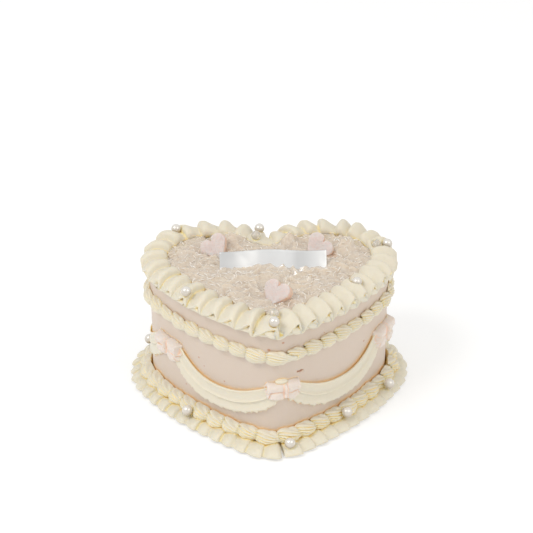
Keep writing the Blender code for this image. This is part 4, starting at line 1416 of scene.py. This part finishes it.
def jelly_flakes(heap):
    """Clear torn flakes and chips strewn over the heap, coloured pale as painted glints."""
    rng = random.Random(12)
    item = add_mesh("jelly_flakes", bmesh.new())
    item.data = heap.data.copy()
    set_cover(item, lambda spot: clear_of_sweets(spot) if spot.z > BODY_HEIGHT + 0.002 else 0.0)
    flakes = [flake(f"flake_{k}", rng, 0.0050, 0.0007, 0.0005) for k in range(CHIP_KINDS)]
    chips = collection_of("chips", flakes)
    apply_tree(item, SCATTER_TREE, {
        "Pieces": chips, "Spacing": 0.0030, "Density": 120000.0, "Smallest": 0.4, "Largest": 1.1,
        "Lift": 0.0003, "Tilt": 0.70, "Keep Base": False, "Seed": 3, "Material": JELLY})
    drop_collection(chips)
    return item


def sweet_outline(half):
    """Points of a plump little heart, tip down, in its own plane."""
    lobe = 0.56 * half
    points = []
    for k in range(7):
        angle = math.radians(-35 + 155 * k / 6)
        points.append((0.44 * half + lobe * math.cos(angle), 0.30 * half + lobe * math.sin(angle)))
    notch = [(0.0, 0.52 * half)]
    tip = [(0.0, -0.98 * half)]
    lower = [(0.50 * half, -0.52 * half)]
    mirrored = [(-x, y) for x, y in reversed(lower + points)]
    return tip + lower + points + notch + mirrored


def rounded(points, between):
    """Closed smooth line through points, with so many places between each two."""
    fine = []
    count = len(points)
    for k in range(count):
        a, b, c, d = (Vector(points[(k + j) % count]) for j in (-1, 0, 1, 2))
        for step in range(between):
            t = step / between
            fine.append(0.5 * (2 * b + (c - a) * t + (2 * a - 5 * b + 4 * c - d) * t * t
                               + (3 * b - a - 3 * c + d) * t ** 3))
    return fine


def sweet(name, spec, seed):
    """Sugared heart sweet, puffed and round edged, lying tilted on the jelly."""
    x, y, sink, tilt, yaw, turn = spec
    half = SWEET_WIDTH / 2
    thick = SWEET_THICKNESS / 2
    outline = rounded(sweet_outline(half), 6)
    profile = [(0.30, 1.00), (0.60, 0.99), (0.84, 0.94), (0.95, 0.78), (1.0, 0.40), (1.0, 0.0), (1.0, -0.40),
               (0.995, -0.72), (0.975, -0.88), (0.93, -0.95), (0.60, -1.0), (0.30, -1.0)]
    rows = [[Vector((share * px, share * py, -thick * depth)) for px, py in outline]
            for share, depth in profile]
    bm = grid(rows, round_columns=True, capped=True)
    stand = (Matrix.Rotation(yaw, 4, "Z") @ Matrix.Rotation(math.pi / 2 - tilt, 4, "X")
             @ Matrix.Rotation(turn, 4, "Z"))
    height = BODY_HEIGHT + filling_height(x, y) + 0.68 * half * math.cos(tilt) - sink
    bm.transform(Matrix.Translation((x, y, height)) @ stand)
    item = smooth(add_mesh(name, outwards(bm)), 1)
    for vertex in item.data.vertices:
        spot = vertex.co * 1100.0
        vertex.co += vertex.normal * 0.00016 * noise.noise(spot)
    set_cover(item, lambda spot: 1.0)
    back = (Matrix.Translation((x, y, height)) @ stand).inverted()
    side = item.data.attributes.new("side", "FLOAT", "POINT")
    side.data.foreach_set("value", [1.0 - ease((back @ vertex.co).z, 0.62 * thick, 0.86 * thick)
                                    for vertex in item.data.vertices])
    rng = random.Random(seed)
    grains = collection_of("grains", [shard(f"grain_{k}", rng, 0.00062) for k in range(4)])
    apply_tree(item, SCATTER_TREE, {
        "Pieces": grains, "Spacing": 0.00075, "Density": 1500000.0, "Smallest": 0.5, "Largest": 1.2,
        "Lift": 0.00002, "Keep Base": True, "Seed": seed, "Material": SUGAR})
    drop_collection(grains)
    return item


def silver_strip():
    """Thin blank strip with a slow wave along it, standing in the jelly and leaning back."""
    half = STRIP_THICKNESS / 2
    section = [(STRIP_HEIGHT * k / 14, -half) for k in range(15)]
    section += [(STRIP_HEIGHT * (14 - k) / 14, half) for k in range(15)]
    rows = []
    for k in range(121):
        u = -1 + 2 * k / 120
        wave = STRIP_WAVE * math.cos(1.25 * math.pi * u + 0.4)
        row = []
        for along, out in section:
            y = STRIP_CENTRE[1] + wave + along * math.sin(STRIP_LEAN) + out * math.cos(STRIP_LEAN)
            z = BODY_HEIGHT + STRIP_FOOT + along * math.cos(STRIP_LEAN) - out * math.sin(STRIP_LEAN)
            row.append(Vector((STRIP_CENTRE[0] + STRIP_LENGTH / 2 * u, y, z)))
        rows.append(row)
    return add_mesh("foil_strip", outwards(grid(rows, round_columns=True, capped=True)))


def balls(name, nodes, radius, material):
    bm = bmesh.new()
    for centre in ball_places(nodes).values():
        bm.verts.new(centre)
    item = add_mesh(name, bm)
    return apply_tree(item, BALL_TREE, {"Radius": radius, "Material": material})


TOP_PEARL_NODES = [f"top_pearl_{k}" for k in range(1, 7)]
FOOT_PEARL_NODES = [f"foot_pearl_{k}" for k in range(1, 8)]
BEAD_NODES = [f"clear_bead_{k}" for k in range(1, 4)]

HEAP_PIECE = filling()

# Every piece with its material, its slot in the record and the nodes that it stands for
PIECES = [
    (cake_body(), BLUSH, "blush", ["cake_body"]),
    (top_ruffle(), CREAM, "cream", ["top_ruffle"]),
    (shell_row("shells_under_ruffle", UPPER_ROW, UPPER_START, -0.25, 21, 0.0), CREAM, "cream", ["upper_shells"]),
    (shell_row("shells_round_foot", BASE_ROW, BASE_START, -0.10, 31, 0.2), CREAM, "cream", ["base_shells"]),
    (base_ruffle(), CREAM, "cream", ["base_ruffle"]),
    (HEAP_PIECE, HEAP, "jelly", ["filling"]),
    (jelly_flakes(HEAP_PIECE), JELLY, "jelly", ["filling"]),
    (silver_strip(), FOIL, "silver", ["silver_strip"]),
    (balls("top_pearls", TOP_PEARL_NODES, 0.0036, PEARL), PEARL, "pearl", TOP_PEARL_NODES),
    (balls("foot_pearls", FOOT_PEARL_NODES, 0.0038, PEARL), PEARL, "pearl", FOOT_PEARL_NODES),
    (balls("clear_beads", BEAD_NODES, 0.0034, GLASS), GLASS, "clear", BEAD_NODES),
]
for k, spec in enumerate(BOWS):
    following = BOWS[(k + 1) % len(BOWS)]
    PIECES.append((swag(f"garland_{k + 1}", spec, following, k), CREAM, "cream", [f"swag_{k + 1}"]))
    PIECES.append((bow(f"piped_bow_{k + 1}", spec, 3.0 * k), PINK, "pink", [f"bow_{k + 1}"]))
for k, (label, spec) in enumerate(SWEETS.items()):
    PIECES.append((sweet(f"sugar_heart_{label}", spec, 50 + 10 * k), SUGAR, "sugar", [f"heart_sweet_{label}"]))


def neighbours(items):
    """All pieces in one mesh, for finding the nooks between them."""
    bm = bmesh.new()
    for item in items:
        bm.from_mesh(item.data)
    return add_mesh("neighbours", bm)


everything = neighbours([item for item, *_ in PIECES])
for item, material, slot, nodes in PIECES:
    apply_tree(item, NOOK_TREE, {"Around": everything, "Reach": NOOK_REACH, "Material": material})
    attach(item, "root")
    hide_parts(*nodes)
bpy.data.objects.remove(everything)


def pale_floor():
    """Wide pale floor, which isn't part of the cake."""
    bm = bmesh.new()
    bmesh.ops.create_grid(bm, x_segments=1, y_segments=1, size=6.0)
    floor = add_mesh("floor", bm)
    floor.data.materials.append(paint("floor_white", lambda board: {
        "Base Color": (0.62, 0.62, 0.62, 1.0), "Roughness": 0.9, "Emission Color": (1.0, 1.0, 1.0, 1.0),
        "Emission Strength": 0.435}))


def soft_light(name, place, aim, size, power, colour):
    lamp = bpy.data.lights.new(name, "AREA")
    lamp.shape = "DISK"
    lamp.size = size
    lamp.energy = power
    lamp.color = colour
    item = bpy.data.objects.new(name, lamp)
    bpy.context.scene.collection.objects.link(item)
    item.location = place
    item.rotation_euler = (Vector(aim) - Vector(place)).to_track_quat("-Z", "Y").to_euler()


def studio():
    bpy.context.scene.view_settings.view_transform = "Standard"
    bpy.context.scene.view_settings.gamma = 1.15
    world = bpy.data.worlds.new("studio")
    bpy.context.scene.world = world
    world.use_nodes = True
    sky = world.node_tree.nodes["Background"]
    sky.inputs["Color"].default_value = (1.0, 1.0, 0.99, 1.0)
    sky.inputs["Strength"].default_value = 0.665
    soft_light("window", (-1.4, -0.9, 2.0), (0.0, 0.0, 0.05), 1.1, 25.0, (1.0, 1.0, 0.99))
    soft_light("bounce", (1.5, -1.2, 1.7), (0.0, 0.0, 0.05), 1.6, 14.0, (1.0, 0.96, 0.89))


def camera():
    """Camera that was fitted to the photo's outline of the cake."""
    azimuth = math.radians(-2.1028)
    elevation = math.radians(30.4718)
    right = Vector((math.cos(azimuth), math.sin(azimuth), 0.0))
    forward = Vector((-math.sin(azimuth) * math.cos(elevation), math.cos(azimuth) * math.cos(elevation),
                      -math.sin(elevation)))
    upward = right.cross(forward)
    look = forward + right * (-4.19 / 1607.87) + upward * (70.69 / 1607.87)
    lens = bpy.data.cameras.new("camera")
    lens.lens = 108.6
    lens.sensor_width = 36.0
    lens.clip_start = 0.05
    item = bpy.data.objects.new("camera", lens)
    bpy.context.scene.collection.objects.link(item)
    item.location = (-0.03627, -0.98640, 0.62625)
    item.rotation_euler = look.to_track_quat("-Z", "Y").to_euler()
    bpy.context.scene.camera = item


pale_floor()
studio()
camera()
